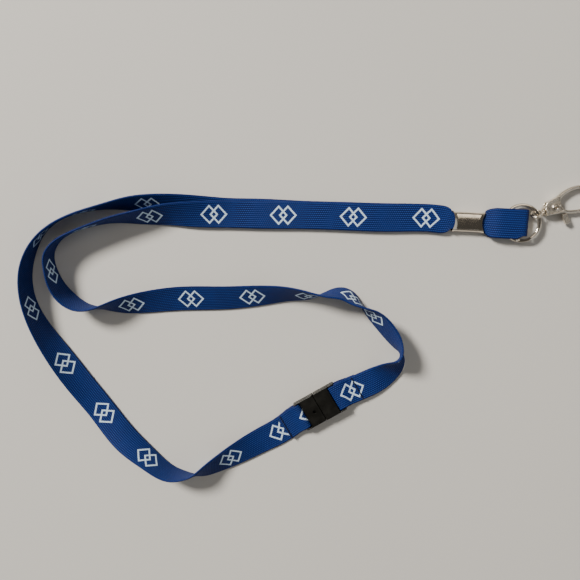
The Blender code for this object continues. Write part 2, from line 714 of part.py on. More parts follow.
def make_clasp_body(material, parent):
    """Flange, slotted cheeks and hook in one casting."""
    shifted = Matrix.Translation((EYE_TO_FLANGE, 0, 0))

    def placed(mesh_data):
        bmesh.ops.transform(mesh_data, matrix=shifted, verts=mesh_data.verts)
        return mesh_data

    wedge = prism(wedge_outline(), -CHEEK_HALF, CHEEK_HALF)
    bmesh.ops.bevel(
        wedge, geom=[e for e in wedge.edges if abs(e.verts[0].co.z - e.verts[1].co.z) < 0.1],
        offset=0.35, segments=2, profile=0.5, affect="EDGES",
    )
    body = add_object("clasp_body", placed(wedge), material, parent)
    flange = placed(cylinder_along_u(FLANGE_RADIUS, 0, FLANGE_THICK, 28))
    combine(body, add_cutter("clasp_flange", flange, parent), "UNION")
    path, halves = hook_path()
    hook = placed(swept_bar(path, halves, HOOK_HALF, 0.5))
    combine(body, add_cutter("clasp_hook", hook, parent), "UNION")
    slot = placed(prism(gate_slot_outline(), -SLOT_HALF, SLOT_HALF))
    combine(body, add_cutter("gate_slot_cutter", slot, parent), "DIFFERENCE")
    cavity = placed(box(
        (HEAD_CAVITY[0], -6, -HEAD_CAVITY_HALF), (HEAD_CAVITY[1], 6, HEAD_CAVITY_HALF),
    ))
    combine(body, add_cutter("head_cavity_cutter", cavity, parent), "DIFFERENCE")
    bore = placed(cylinder_along_u(STEM_RADIUS + 0.15, -1, HEAD_CAVITY[0] + 0.3, 24))
    combine(body, add_cutter("stem_bore_cutter", bore, parent), "DIFFERENCE")
    rivet_hole = placed(prism(disc_outline(RIVET_AT, RIVET_RADIUS + 0.15, 20), -4, 4))
    combine(body, add_cutter("rivet_hole_cutter", rivet_hole, parent), "DIFFERENCE")
    return body


def make_pivot_rivet(material, parent):
    """The gate's pivot: a pin through both cheeks, closed by a domed head on each side."""
    seat = CHEEK_HALF + 0.06
    profile = [
        (-seat - RIVET_DOME, 0.7), (-seat - RIVET_DOME * 0.7, 1.35),
        (-seat - 0.1, RIVET_HEAD_RADIUS), (-seat, RIVET_HEAD_RADIUS), (-seat, RIVET_RADIUS),
    ]
    profile += [(-w, r) for w, r in reversed(profile)]
    turn = 2 * math.pi / 20
    rings = [
        [Vector((r * math.cos(k * turn), r * math.sin(k * turn), w)) for k in range(20)]
        for w, r in profile
    ]
    at = (EYE_TO_FLANGE + RIVET_AT[0], RIVET_AT[1], 0)
    return add_object("pivot_rivet", loft(rings), material, parent, at)


def make_gate(material, parent):
    """The spring gate: a hub on the rivet, an arm that closes the hook and a thumb tab."""
    u0, v0 = RIVET_AT
    hub = add_object(
        "gate_lever", prism(disc_outline((0, 0), HUB_RADIUS, 28), *HUB_W), material, parent,
    )
    root = prism([(0.9, -1.9), (2.6, -3.9), (3.9, -2.6), (1.6, 0.6)], *HUB_W)
    combine(hub, add_cutter("gate_root", root, parent), "UNION")
    arm_points = [(2.3, -2.4), (5.0, -4.0), (8.6, -5.3), (13.4, -6.1), (20.0, -5.5)]
    rows = natural_cubic([(u, v, 0) for u, v in arm_points], 2.0)
    path = [(row[0], row[1]) for row in rows]
    count = len(path)
    halves = [1.0 - 0.25 * i / (count - 1) for i in range(count)]
    arm = swept_bar(path, halves, GATE_HALF, 0.3)
    combine(hub, add_cutter("gate_arm", arm, parent), "UNION")
    tab = prism([(2.2, -4.6), (4.9, -4.9), (5.3, -9.7), (4.6, -10.3), (3.2, -10.35), (2.6, -9.9)],
                -GATE_HALF, GATE_HALF)
    bmesh.ops.bevel(
        tab, geom=[e for e in tab.edges if abs(e.verts[0].co.z - e.verts[1].co.z) < 0.1],
        offset=0.25, segments=2, profile=0.5, affect="EDGES",
    )
    combine(hub, add_cutter("gate_tab", tab, parent), "UNION")
    bore = prism(disc_outline((0, 0), RIVET_RADIUS + 0.15, 20), -4, 4)
    combine(hub, add_cutter("gate_bore_cutter", bore, parent), "DIFFERENCE")
    return hub


def make_gate_spring(material, parent):
    """A torsion spring of one and a half turns beside the hub, with a short leg at its end."""
    turns = 1.5
    count = 36
    points = []
    for i in range(count + 1):
        angle = math.radians(-60) + 2 * math.pi * turns * i / count
        rise = SPRING_W[0] + (SPRING_W[1] - SPRING_W[0]) * i / count
        points.append(Vector((SPRING_RADIUS * math.cos(angle), SPRING_RADIUS * math.sin(angle), rise)))
    last = points[-1]
    outward = Vector((last.x, last.y, 0)).normalized()
    points.append(last + outward.cross(Vector((0, 0, -1))) * 0.55 + outward * 0.15)
    return add_object("gate_spring", tube(points, SPRING_WIRE, 6), material, parent)


# ---- assembly ---------------------------------------------------------------------------

def main():
    clear_scene()
    webbing = make_material("blue_webbing", (0.02, 0.09, 0.42), 0.75, 0.0)
    thread = make_material("blue_thread", (0.02, 0.07, 0.33), 0.7, 0.0)
    plastic = make_material("black_plastic", (0.012, 0.012, 0.013), 0.42, 0.0)
    nickel = make_material("nickel_plate", (0.72, 0.69, 0.63), 0.22, 1.0)
    spring_steel = make_material("spring_steel", (0.45, 0.45, 0.46), 0.3, 1.0)

    make_outer_run(webbing)
    make_inner_run(webbing)
    make_ring_loop(webbing)
    make_crimp(nickel)

    buckle = make_pivot("buckle_axis", buckle_frame())
    make_socket(plastic, buckle)
    make_plug(plastic, buckle)
    make_socket_side_end(webbing)
    make_plug_side_end(webbing, buckle)
    make_stitching("stitching_socket_side", thread, -22.4, -1.1, 3.05, buckle)
    make_stitching("stitching_plug_side", thread, 23.4, -1.5, 3.05, buckle)

    ring_axis = make_pivot("ring_axis", Matrix.Translation(RING_CENTRE))
    make_split_ring(nickel, ring_axis)

    clasp = make_pivot("swivel_axis", clasp_frame())
    make_swivel_eye(nickel, clasp)
    make_clasp_body(nickel, clasp)
    make_pivot_rivet(nickel, clasp)
    at_rivet = Matrix.Translation((EYE_TO_FLANGE + RIVET_AT[0], RIVET_AT[1], 0))
    gate_axis = make_pivot("gate_axis", clasp_frame() @ at_rivet)
    make_gate(nickel, gate_axis)
    make_gate_spring(spring_steel, gate_axis)


main()
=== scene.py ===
import json
import math

import bmesh
import bpy
import numpy as np
from mathutils import Matrix, Vector


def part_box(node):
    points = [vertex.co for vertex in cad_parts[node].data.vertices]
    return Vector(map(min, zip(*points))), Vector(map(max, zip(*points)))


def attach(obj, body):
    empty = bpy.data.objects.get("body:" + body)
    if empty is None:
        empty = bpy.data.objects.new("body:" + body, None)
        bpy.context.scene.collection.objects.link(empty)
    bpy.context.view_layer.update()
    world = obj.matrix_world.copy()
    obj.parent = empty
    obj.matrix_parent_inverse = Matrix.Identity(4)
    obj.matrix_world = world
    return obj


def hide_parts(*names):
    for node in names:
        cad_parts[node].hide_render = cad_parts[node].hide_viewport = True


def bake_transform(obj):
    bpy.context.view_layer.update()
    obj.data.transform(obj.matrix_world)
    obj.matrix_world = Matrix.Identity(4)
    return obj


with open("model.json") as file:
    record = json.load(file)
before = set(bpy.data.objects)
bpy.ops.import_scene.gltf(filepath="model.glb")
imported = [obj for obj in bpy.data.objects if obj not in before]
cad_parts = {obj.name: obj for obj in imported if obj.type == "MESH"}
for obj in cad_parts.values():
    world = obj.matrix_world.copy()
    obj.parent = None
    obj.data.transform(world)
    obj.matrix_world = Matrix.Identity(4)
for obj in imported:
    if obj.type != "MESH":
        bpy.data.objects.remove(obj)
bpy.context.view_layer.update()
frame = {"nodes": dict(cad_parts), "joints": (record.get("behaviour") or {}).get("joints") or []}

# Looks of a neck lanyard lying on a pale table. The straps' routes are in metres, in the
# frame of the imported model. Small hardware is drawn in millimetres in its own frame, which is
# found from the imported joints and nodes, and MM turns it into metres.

MM = 0.001

# ---- camera ----

CAMERA_HEIGHT = 0.330
CAMERA_TARGET = Vector((-0.0935, -0.0424, 0.0))
CAMERA_LEAN_X = math.radians(3)
CAMERA_LEAN_Y = math.radians(6)
CAMERA_ROLL = math.radians(3)
CAMERA_FIELD = math.radians(51.74)


def make_camera():
    """Looks down at the table, from a point a little to the far right of its target."""
    lean = Vector((math.tan(CAMERA_LEAN_X), math.tan(CAMERA_LEAN_Y), 1.0))
    place = CAMERA_TARGET + lean * CAMERA_HEIGHT
    ahead = (CAMERA_TARGET - place).normalized()
    up_hint = Vector((-math.sin(CAMERA_ROLL), math.cos(CAMERA_ROLL), 0))
    right = ahead.cross(up_hint).normalized()
    up = right.cross(ahead)
    turned = Matrix((right, up, -ahead)).transposed().to_4x4()
    turned.translation = place
    data = bpy.data.cameras.new("camera")
    data.sensor_width = 36
    data.lens = data.sensor_width / 2 / math.tan(CAMERA_FIELD / 2)
    data.clip_start = 0.01
    camera = bpy.data.objects.new("camera", data)
    bpy.context.scene.collection.objects.link(camera)
    camera.matrix_world = turned
    bpy.context.scene.camera = camera


# ---- routes of the strap ----

STRAP_WIDTH = 0.015
STRAP_THICK = 0.0012
TABLE_GAP = 0.00005
# x, y and the drop below the layer's height, from the middle of the crimp outwards.
CRIMP_EXIT = [
    (-0.0003, 0, 0), (-0.0050, 0.0001, 0), (-0.0088, 0.0003, 0.00006),
    (-0.0120, 0.0005, 0.00042), (-0.0158, 0.0008, 0.0007),
]
LOWER_LAYER_Z = 0.0014
UPPER_LAYER_Z = 0.0029

# x and y of the middle line, and the strap's roll about it in degrees.
OUTER_ROUTE = [
    (-0.0200, 0.0010, 0), (-0.0415, 0.0005, 0), (-0.0655, 0.0000, 0), (-0.0900, -0.0005, 0),
    (-0.1120, -0.0005, 0), (-0.1315, -0.0010, -3), (-0.1505, 0.0000, -22),
    (-0.1665, 0.0010, -44), (-0.1815, 0.0005, -62), (-0.1945, -0.0015, -81),
    (-0.2105, -0.0055, -95), (-0.2230, -0.0110, -101), (-0.2315, -0.0180, -100),
    (-0.2375, -0.0280, -93), (-0.2405, -0.0390, -89), (-0.2395, -0.0540, -85),
    (-0.2320, -0.0710, -70), (-0.2220, -0.0860, -48), (-0.2100, -0.1025, -24),
    (-0.1970, -0.1180, -14), (-0.1830, -0.1325, -34), (-0.1675, -0.1435, -62),
    (-0.1545, -0.1505, -80), (-0.1480, -0.1510, -93), (-0.1425, -0.1505, -107),
    (-0.1370, -0.1485, -122), (-0.1320, -0.1455, -132), (-0.1200, -0.1380, -153),
    (-0.1045, -0.1285, -172), (-0.0920, -0.1205, -180),
]
# The same for the inner run, with its height above flat rest.
INNER_ROUTE = [
    (-0.0200, 0.0010, 0, 0.0015), (-0.0415, 0.0000, 0, 0.0015), (-0.0655, -0.0005, 0, 0.0015),
    (-0.0900, -0.0010, 0, 0.0015), (-0.1120, -0.0020, 0, 0.0015), (-0.1310, -0.0025, -5, 0.0015),
    (-0.1475, -0.0035, -22, 0.0013), (-0.1635, -0.0045, -42, 0.0005), (-0.1770, -0.0065, -61, 0),
    (-0.1925, -0.0090, -81, 0), (-0.2045, -0.0125, -92, 0), (-0.2155, -0.0170, -97, 0),
    (-0.2235, -0.0225, -97, 0), (-0.2275, -0.0300, -93, 0), (-0.2265, -0.0380, -88, 0),
    (-0.2235, -0.0455, -80, 0), (-0.2175, -0.0530, -73, 0), (-0.2080, -0.0580, -81, 0),
    (-0.1990, -0.0580, -97, 0), (-0.1895, -0.0565, -121, 0), (-0.1735, -0.0535, -147, 0),
    (-0.1545, -0.0505, -158, 0), (-0.1290, -0.0485, -154, 0), (-0.1070, -0.0455, -140, 0),
    (-0.0930, -0.0440, -124, 0), (-0.0815, -0.0440, -108, 0), (-0.0710, -0.0425, -80, 0),
    (-0.0645, -0.0420, -70, 0), (-0.0580, -0.0450, -73, 0), (-0.0540, -0.0480, -90, 0),
    (-0.0480, -0.0520, -114, 0), (-0.0393, -0.0602, -124, 0), (-0.0324, -0.0698, -104, 0),
    (-0.0311, -0.0738, -84, 0), (-0.0326, -0.0782, -54, 0), (-0.0370, -0.0840, -27, 0),
    (-0.0430, -0.0893, -6, 0.0006), (-0.0505, -0.0935, 0, 0.0015),
]
# The last points, in the buckle's frame: x, y and z in metres.
OUTER_END = [(-0.0145, 0, 0.00065), (-0.0090, 0, 0.00065)]
INNER_END = [
    (0.0190, -0.0009, 0.0025), (0.0155, -0.0002, 0.0038), (0.0126, 0, 0.0044), (0.0094, 0, 0.0044),
]

# ---- frames of the small parts ----

JOINTS = {joint["name"]: joint for joint in frame["joints"]}


def node_points(*names):
    """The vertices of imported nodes, in metres."""
    return np.array([v.co for name in names for v in frame["nodes"][name].data.vertices])


def frame_matrix(origin, x_axis, z_axis):
    """A frame with the given x axis, and z as near the given one as it can be."""
    x_axis = Vector(x_axis).normalized()
    y_axis = Vector(z_axis).cross(x_axis).normalized()
    turned = Matrix((x_axis, y_axis, x_axis.cross(y_axis))).transposed().to_4x4()
    turned.translation = Vector(origin)
    return turned


def find_buckle_frame():
    """x along the buckle from socket to plug, zero where its halves meet."""
    turned = frame_matrix((0, 0, 0), JOINTS["buckle_release"]["axis"], (0, 0, 1))
    local = node_points("buckle_socket") @ np.array(turned.to_3x3())
    seam_gap = 0.1 * MM
    middle = (local[:, 1].max() + local[:, 1].min()) / 2
    turned.translation = turned.to_3x3() @ Vector((local[:, 0].max() + seam_gap, middle, 0))
    return turned


BUCKLE = find_buckle_frame()
# The clasp's x runs from the eye to the hook, and its z along the gate's pivot.
CLASP = frame_matrix(
    JOINTS["eye_swing"]["pos_m"], JOINTS["clasp_swivel"]["axis"], JOINTS["gate_open"]["axis"],
)
GATE = frame_matrix(
    JOINTS["gate_open"]["pos_m"], JOINTS["clasp_swivel"]["axis"], JOINTS["gate_open"]["axis"],
)
RING_AT = Vector(JOINTS["ring_turn"]["pos_m"])
CRIMP_END = Vector(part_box("crimp_sleeve")[1]).x

# ---- node graphs ----


class Graph:
    """A short way to write a material's nodes."""

    def __init__(self, name):
        self.material = bpy.data.materials.new(name)
        self.material.use_nodes = True
        self.nodes = self.material.node_tree.nodes
        self.links = self.material.node_tree.links
        self.shader = self.nodes["Principled BSDF"]

    def plug(self, socket, value):
        if isinstance(value, bpy.types.NodeSocket):
            self.links.new(value, socket)
        elif value is not None:
            socket.default_value = value

    def math(self, operation, a, b=None):
        node = self.nodes.new("ShaderNodeMath")
        node.operation = operation
        self.plug(node.inputs[0], a)
        self.plug(node.inputs[1], b)
        return node.outputs[0]

    def uv(self, layer):
        node = self.nodes.new("ShaderNodeUVMap")
        node.uv_map = layer
        split = self.nodes.new("ShaderNodeSeparateXYZ")
        self.links.new(node.outputs[0], split.inputs[0])
        return split.outputs[0], split.outputs[1]

    def place(self, stretch=(1, 1, 1)):
        """The point's place in the piece's own space, stretched along each axis."""
        source = self.nodes.new("ShaderNodeTexCoord")
        scaled = self.nodes.new("ShaderNodeMapping")
        scaled.inputs["Scale"].default_value = stretch
        self.links.new(source.outputs["Object"], scaled.inputs["Vector"])
        return scaled.outputs[0]

    def noise(self, scale, detail, place=None):
        node = self.nodes.new("ShaderNodeTexNoise")
        self.plug(node.inputs["Vector"], place or self.place())
        node.inputs["Scale"].default_value = scale
        node.inputs["Detail"].default_value = detail
        return node.outputs["Fac"]

    def spread(self, value, low, high, to_low=0.0, to_high=1.0):
        node = self.nodes.new("ShaderNodeMapRange")
        node.clamp = True
        for key, given in (
            ("Value", value), ("From Min", low), ("From Max", high),
            ("To Min", to_low), ("To Max", to_high),
        ):
            self.plug(node.inputs[key], given)
        return node.outputs[0]

    def mix(self, factor, first, second):
        node = self.nodes.new("ShaderNodeMix")
        node.data_type = "RGBA"
        self.plug(node.inputs["Factor"], factor)
        for key, colour in (("A", first), ("B", second)):
            socket = next(s for s in node.inputs if s.name == key and s.type == "RGBA")
            self.plug(socket, (*colour, 1.0) if isinstance(colour, tuple) else colour)
        return next(s for s in node.outputs if s.type == "RGBA")

    def bump(self, height, distance, strength, before=None):
        node = self.nodes.new("ShaderNodeBump")
        node.inputs["Strength"].default_value = strength
        node.inputs["Distance"].default_value = distance
        self.plug(node.inputs["Height"], height)
        self.plug(node.inputs["Normal"], before)
        return node.outputs[0]

    def finish(self, **inputs):
        """Sets the shader's inputs: base_color, for one, names the input Base Color."""
        for key, value in inputs.items():
            name = key.replace("_", " ").title().replace("Ior", "IOR")
            given = (*value, 1.0) if isinstance(value, tuple) else value
            self.plug(self.shader.inputs[name], given)
        return self.material


# ---- materials ----

# The printed rhombi, in millimetres.
PRINT_HALF_LONG = 4.3
PRINT_HALF_WIDE = 4.7
PRINT_OFFSET = 2.5
PRINT_LINE = 0.88
PRINT_SOFT = 0.08


def rhombus_line(graph, along, across, centre):
    """1 on the outline of a rhombus, 0 off it. Lengths are in millimetres."""
    u = graph.math("ABSOLUTE", graph.math("SUBTRACT", along, centre))
    v = graph.math("ABSOLUTE", across)
    reach = graph.math(
        "ADD", graph.math("DIVIDE", u, PRINT_HALF_LONG), graph.math("DIVIDE", v, PRINT_HALF_WIDE),
    )
    side = PRINT_HALF_LONG * PRINT_HALF_WIDE / math.hypot(PRINT_HALF_LONG, PRINT_HALF_WIDE)
    off = graph.math("ABSOLUTE", graph.math("MULTIPLY", graph.math("SUBTRACT", reach, 1.0), side))
    return graph.spread(off, PRINT_LINE / 2 - PRINT_SOFT, PRINT_LINE / 2 + PRINT_SOFT, 1.0, 0.0)


def make_webbing():
    """Royal blue ribbed polyester with a white print of two linked rhombi."""
    graph = Graph("blue_webbing")
    picks, ribs = graph.uv("weave")
    crest = graph.math("MULTIPLY", graph.math("PINGPONG", ribs, 0.5), 2.0)
    row = graph.math("FLOOR", ribs)
    staggered = graph.math("ADD", picks, graph.math("MULTIPLY", row, 0.5))
    dash = graph.math("MULTIPLY", graph.math("PINGPONG", staggered, 0.5), 2.0)
    fibre = graph.noise(5200, 2.0)
    cloudy = graph.noise(160, 3.0)
    # The grooves between the ribs get a much darker blue than the crests: a painted shade in the grooves,
    # over the real ribs and bump.
    groove_shade_blue, ridge = (0.0009, 0.0034, 0.036), (0.0046, 0.0205, 0.145)
    float_highlight_blue, shadow_blue, faded_blue = (0.034, 0.105, 0.42), (0.0022, 0.009, 0.075), (0.0075, 0.031, 0.20)
    white_ink = (0.63, 0.80, 0.98)
    blue = graph.mix(graph.spread(crest, 0.05, 0.8), groove_shade_blue, ridge)
    # A brighter blue on the crests of the yarn floats is a painted highlight where the floats catch the
    # light.
    lit = graph.math("MULTIPLY", graph.spread(dash, 0.45, 0.9), graph.spread(crest, 0.35, 0.9))
    blue = graph.mix(graph.math("MULTIPLY", lit, 0.85), blue, float_highlight_blue)
    blue = graph.mix(graph.spread(fibre, 0.35, 0.75, 0.0, 0.35), blue, shadow_blue)
    blue = graph.mix(graph.spread(cloudy, 0.45, 0.8, 0.0, 0.25), blue, faded_blue)
    along, across = graph.uv("print")
    printed = graph.math(
        "MAXIMUM",
        rhombus_line(graph, along, across, -PRINT_OFFSET),
        rhombus_line(graph, along, across, PRINT_OFFSET),
    )
    soaked = graph.math("ADD", graph.math("MULTIPLY", crest, 0.6), fibre)
    inked = graph.math("MULTIPLY", printed, graph.spread(soaked, 0.35, 0.75, 0.55, 1.0))
    colour = graph.mix(inked, blue, white_ink)
    woven = graph.math("MULTIPLY", crest, graph.spread(dash, 0.0, 1.0, 0.45, 1.0))
    normal = graph.bump(woven, 0.00012, 0.9)
    normal = graph.bump(fibre, 0.00004, 0.6, normal)
    return graph.finish(
        base_color=colour, roughness=graph.spread(fibre, 0.3, 0.7, 0.52, 0.78), normal=normal,
        sheen_weight=0.04, sheen_roughness=0.4, specular_ior_level=0.16,
    )


def make_thread():
    """Dark blue twisted sewing thread."""
    graph = Graph("blue_thread")
    twist = graph.nodes.new("ShaderNodeTexWave")
    twist.wave_type = "BANDS"
    twist.bands_direction = "DIAGONAL"
    twist.inputs["Scale"].default_value = 2600
    twist.inputs["Distortion"].default_value = 1.5
    graph.links.new(graph.place(), twist.inputs["Vector"])
    strand = twist.outputs["Fac"]
    # The twist's grooves get the darker blue and its strands the lighter one: a painted shade between the
    # plies, over the real bump.
    colour = graph.mix(strand, (0.0004, 0.0012, 0.006), (0.002, 0.006, 0.028))
    normal = graph.bump(strand, 0.00006, 0.8)
    return graph.finish(
        base_color=colour, roughness=0.6, normal=normal, sheen_weight=0.05, specular_ior_level=0.2,
    )


def make_plastic():
    """Black moulded acetal: finely textured, a little greyer where it is rubbed."""
    graph = Graph("black_plastic")
    grain = graph.noise(9000, 2.0)
    rubbed = graph.noise(260, 4.0)
    black, grey = (0.0052, 0.0050, 0.0042), (0.010, 0.0098, 0.0082)
    colour = graph.mix(graph.spread(rubbed, 0.45, 0.8), black, grey)
    roughness = graph.spread(rubbed, 0.3, 0.75, 0.30, 0.44)
    normal = graph.bump(grain, 0.00002, 0.6)
    return graph.finish(
        base_color=colour, roughness=roughness, normal=normal, specular_ior_level=0.3,
    )


def make_nickel(name, colour, dull, low, high):
    """Bright plating with hairline scratches and a few duller patches."""
    graph = Graph(name)
    patches = graph.noise(300, 1.0)
    hair = graph.noise(500, 1.0, graph.place((0.1, 2.0, 2.0)))
    tint = graph.mix(graph.spread(patches, 0.35, 0.75), colour, dull)
    worn = graph.math("ADD", patches, graph.math("MULTIPLY", hair, 0.2))
    roughness = graph.spread(worn, 0.4, 0.9, low, high)
    normal = graph.bump(hair, 0.000003, 0.08)
    normal = graph.bump(graph.noise(240, 1.0), 0.00004, 0.2, normal)
    return graph.finish(base_color=tint, metallic=1.0, roughness=roughness, normal=normal)


WEBBING = make_webbing()
THREAD = make_thread()
PLASTIC = make_plastic()
NICKEL = make_nickel("nickel_plate", (0.80, 0.72, 0.61), (0.74, 0.66, 0.55), 0.09, 0.15)
CAST_NICKEL = make_nickel("cast_nickel", (0.77, 0.70, 0.60), (0.62, 0.56, 0.47), 0.18, 0.33)
SPRING_STEEL = make_nickel("spring_steel", (0.46, 0.45, 0.44), (0.30, 0.28, 0.26), 0.22, 0.40)

# ---- the strap's mesh ----

RIBS = 13
RIB_SAMPLES = 4
RIB_DEPTH = 0.00009
EDGE_ROUND = 0.00045
EDGE_SAMPLES = 5
STRAP_STEP = 0.0012
PICK_PITCH = 0.00105
GATHERED_HALF = 0.00435
BUNCHING = 0.7
SHOULDER_LENGTH = 0.006
MOUTH_CLEARANCE = 0.0003
FAR_OFF = 99.0


def natural_cubic(points, step):
    """Points about a step apart on the natural cubic spline through a route's points."""
    points = np.asarray(points, float)
    gaps = np.linalg.norm(np.diff(points[:, :3], axis=0), axis=1)
    along = np.concatenate([[0.0], np.cumsum(gaps)])
    count = len(points)
    system = np.eye(count)
    right = np.zeros_like(points)
    for i in range(1, count - 1):
        before, after = gaps[i - 1], gaps[i]
        system[i, i - 1:i + 2] = before, 2 * (before + after), after
        right[i] = 6 * ((points[i + 1] - points[i]) / after - (points[i] - points[i - 1]) / before)
    bend = np.linalg.solve(system, right)
    wanted = np.linspace(0, along[-1], round(along[-1] / step) + 1)
    span = np.clip(np.searchsorted(along, wanted, side="right") - 1, 0, count - 2)
    gap = gaps[span][:, None]
    to_end = (along[span + 1] - wanted)[:, None]
    from_start = (wanted - along[span])[:, None]
    curved = (bend[span] * to_end**3 + bend[span + 1] * from_start**3) / (6 * gap)
    first = (points[span] / gap - bend[span] * gap / 6) * to_end
    second = (points[span + 1] / gap - bend[span + 1] * gap / 6) * from_start
    return curved + first + second


def rest_height(roll, lift):
    """Height of the middle line when the strap's lower edge or face is just above the table."""
    turned = math.radians(roll)
    edge = abs(math.sin(turned)) * STRAP_WIDTH / 2
    face = abs(math.cos(turned)) * STRAP_THICK / 2
    return edge + face + TABLE_GAP + lift


def gathered_half(distance, full_half):
    """Half widths at distances from the crimp's mouth: a quarter round shoulder."""
    part = np.clip(np.asarray(distance) / SHOULDER_LENGTH, 0, 1)
    return GATHERED_HALF + (full_half - GATHERED_HALF) * np.sqrt(1 - (1 - part)**2)


def strap_section():
    """Points round the woven tube, as across (-1 to 1), height, rib count and side."""
    half = STRAP_WIDTH / 2
    flat = 1 - EDGE_ROUND / half
    rows = []
    count = RIBS * RIB_SAMPLES
    for side in (1, -1):
        for i in range(count + 1):
            ribs = i / RIB_SAMPLES
            groove = 0.5 + 0.5 * math.cos(2 * math.pi * ribs)
            across = side * flat * (2 * i / count - 1)
            height = side * (STRAP_THICK / 2 - RIB_DEPTH * groove)
            rows.append((across, height, ribs if side > 0 else RIBS - ribs, side))
        for i in range(1, EDGE_SAMPLES):
            turn = math.pi * (0.5 - i / EDGE_SAMPLES)
            across = side * (flat + (1 - flat) * math.cos(turn))
            height = side * (STRAP_THICK / 2 - RIB_DEPTH) * math.sin(turn)
            rows.append((across, height, RIBS + 0.25 if side > 0 else -0.25, 0))
    return np.array(rows)


def gathered_across(unit, halves, full_half):
    """Keeps the middle ribs straight and bunches the outer ones where the strap is gathered."""
    share = halves[:, None] / full_half
    bunched = np.sign(unit) * (1 - (1 - np.abs(unit)[None, :]) ** (1 / share))
    return halves[:, None] * (BUNCHING * bunched + (1 - BUNCHING) * unit[None, :])


def strap_mesh(name, centres, acrosses, lefts, rights, full_half, prints):
    """A woven tube along a line, with maps for its weave and its print.

    prints holds (where along the line, side) for each printed motif, in metres.
    """
    centres = np.asarray(centres, float)
    section = strap_section()
    unit, heights, ribs, sides = section.T
    along = np.gradient(centres, axis=0)
    along /= np.linalg.norm(along, axis=1)[:, None]
    across = acrosses - along * np.sum(along * acrosses, axis=1)[:, None]
    across /= np.linalg.norm(across, axis=1)[:, None]
    up = np.cross(along, across)
    offsets = np.where(
        unit[None, :] > 0,
        gathered_across(unit, lefts, full_half), gathered_across(unit, rights, full_half),
    )
    points = (
        centres[:, None] + across[:, None] * offsets[..., None]
        + up[:, None] * heights[None, :, None]
    )
    rows, columns = offsets.shape
    steps = np.linalg.norm(np.diff(centres, axis=0), axis=1)
    travelled = np.concatenate([[0], np.cumsum(steps)])
    first = np.arange(rows - 1)[:, None] * columns
    column = np.arange(columns)[None, :]
    after = (column + 1) % columns
    quads = np.stack(
        [first + column, first + after, first + columns + after, first + columns + column], axis=-1,
    ).reshape(-1, 4)
    caps = [list(range(columns))[::-1], list(range((rows - 1) * columns, rows * columns))]
    mesh = bpy.data.meshes.new(name)
    mesh.from_pydata(points.reshape(-1, 3).tolist(), [], quads.tolist() + caps)
    corner = np.concatenate([quads.reshape(-1), caps[0], caps[1]])
    corner_row, corner_column = corner // columns, corner % columns
    corner_ribs = ribs[corner_column]
    wrapped = (corner_column == 0) & np.isin(np.arange(len(corner)) % 4, (1, 2))
    wrapped[quads.size:] = False
    weave = np.stack([travelled[corner_row] / PICK_PITCH, corner_ribs], axis=-1)
    weave[wrapped, 1] = -0.25
    mesh.uv_layers.new(name="weave").data.foreach_set("uv", weave.reshape(-1).astype(np.float32))
    printed = np.full((len(corner), 2), FAR_OFF)
    if len(prints):
        where = np.array([p[0] for p in prints])
        facing = np.array([p[1] for p in prints])
        quad_row = quads[:, 0] // columns
        quad_column = quads[:, 0] % columns
        middle = (travelled[quad_row] + travelled[quad_row + 1]) / 2
        near_side, far_side = sides[quad_column], sides[(quad_column + 1) % columns]
        side = np.where(near_side == far_side, near_side, 0)
        gap = np.abs(middle[:, None] - where[None, :])
        gap = np.where(facing[None, :] == side[:, None], gap, FAR_OFF)
        nearest = gap.argmin(axis=1)
        shown = np.repeat(gap.min(axis=1) < PRINT_HALF_LONG * 4 * MM, 4)
        local = travelled[corner_row[:quads.size]] - np.repeat(where[nearest], 4)
        value = np.stack([local, offsets.reshape(-1)[quads.reshape(-1)]], axis=-1) / MM
        printed[:quads.size][shown] = value[shown]
    mesh.uv_layers.new(name="print").data.foreach_set("uv", printed.reshape(-1).astype(np.float32))
    mesh.validate()
    mesh.update()
    return mesh


def facing_out(mesh):
    """Turns a closed mesh's faces outwards and shades it smooth."""
    built = bmesh.new()
    built.from_mesh(mesh)
    bmesh.ops.recalc_face_normals(built, faces=built.faces)
    built.to_mesh(mesh)
    built.free()
    mesh.shade_smooth()
    return mesh


def add_piece(name, mesh, material, slot, *nodes):
    """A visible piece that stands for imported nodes."""
    mesh.materials.clear()
    mesh.materials.append(material)
    piece = bpy.data.objects.new(name, mesh)
    bpy.context.scene.collection.objects.link(piece)
    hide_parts(*nodes)
    return piece


def run_stations(layer_z, route, end):
    """x, y, z and roll along a run, from the middle of the crimp into the buckle."""
    start = [(x, y, layer_z - drop, 0) for x, y, drop in CRIMP_EXIT]
    middle = []
    for x, y, roll, *lift in route:
        middle.append((x, y, rest_height(roll, lift[0] if lift else 0.0), roll))
    last_roll = route[-1][2]
    finish = [(*(BUCKLE @ Vector(point)), last_roll) for point in end]
    return natural_cubic(start + middle + finish, STRAP_STEP)


def run_mesh(name, stations, prints):
    """A long run's woven tube, gathered where it leaves the crimp."""
    centres = stations[:, :3]
    ahead = np.gradient(centres, axis=0)
    left = np.stack([-ahead[:, 1], ahead[:, 0], np.zeros(len(ahead))], axis=-1)
    left /= np.linalg.norm(left, axis=1)[:, None]
    roll = np.radians(stations[:, 3])[:, None]
    acrosses = left * np.cos(roll) + np.array([0, 0, 1.0]) * np.sin(roll)
    mouth = -centres[:, 0] - CRIMP_END - MOUTH_CLEARANCE
    halves = gathered_half(np.where(mouth < 0, 0, mouth), STRAP_WIDTH / 2)
    return facing_out(strap_mesh(name, centres, acrosses, halves, halves, STRAP_WIDTH / 2, prints))


FRONT, BACK = 1, -1
PRINT_PITCH = 0.036


def repeated(places, side):
    """Printed motifs at the same places along one side of the strap."""
    return [(place, side) for place in places]


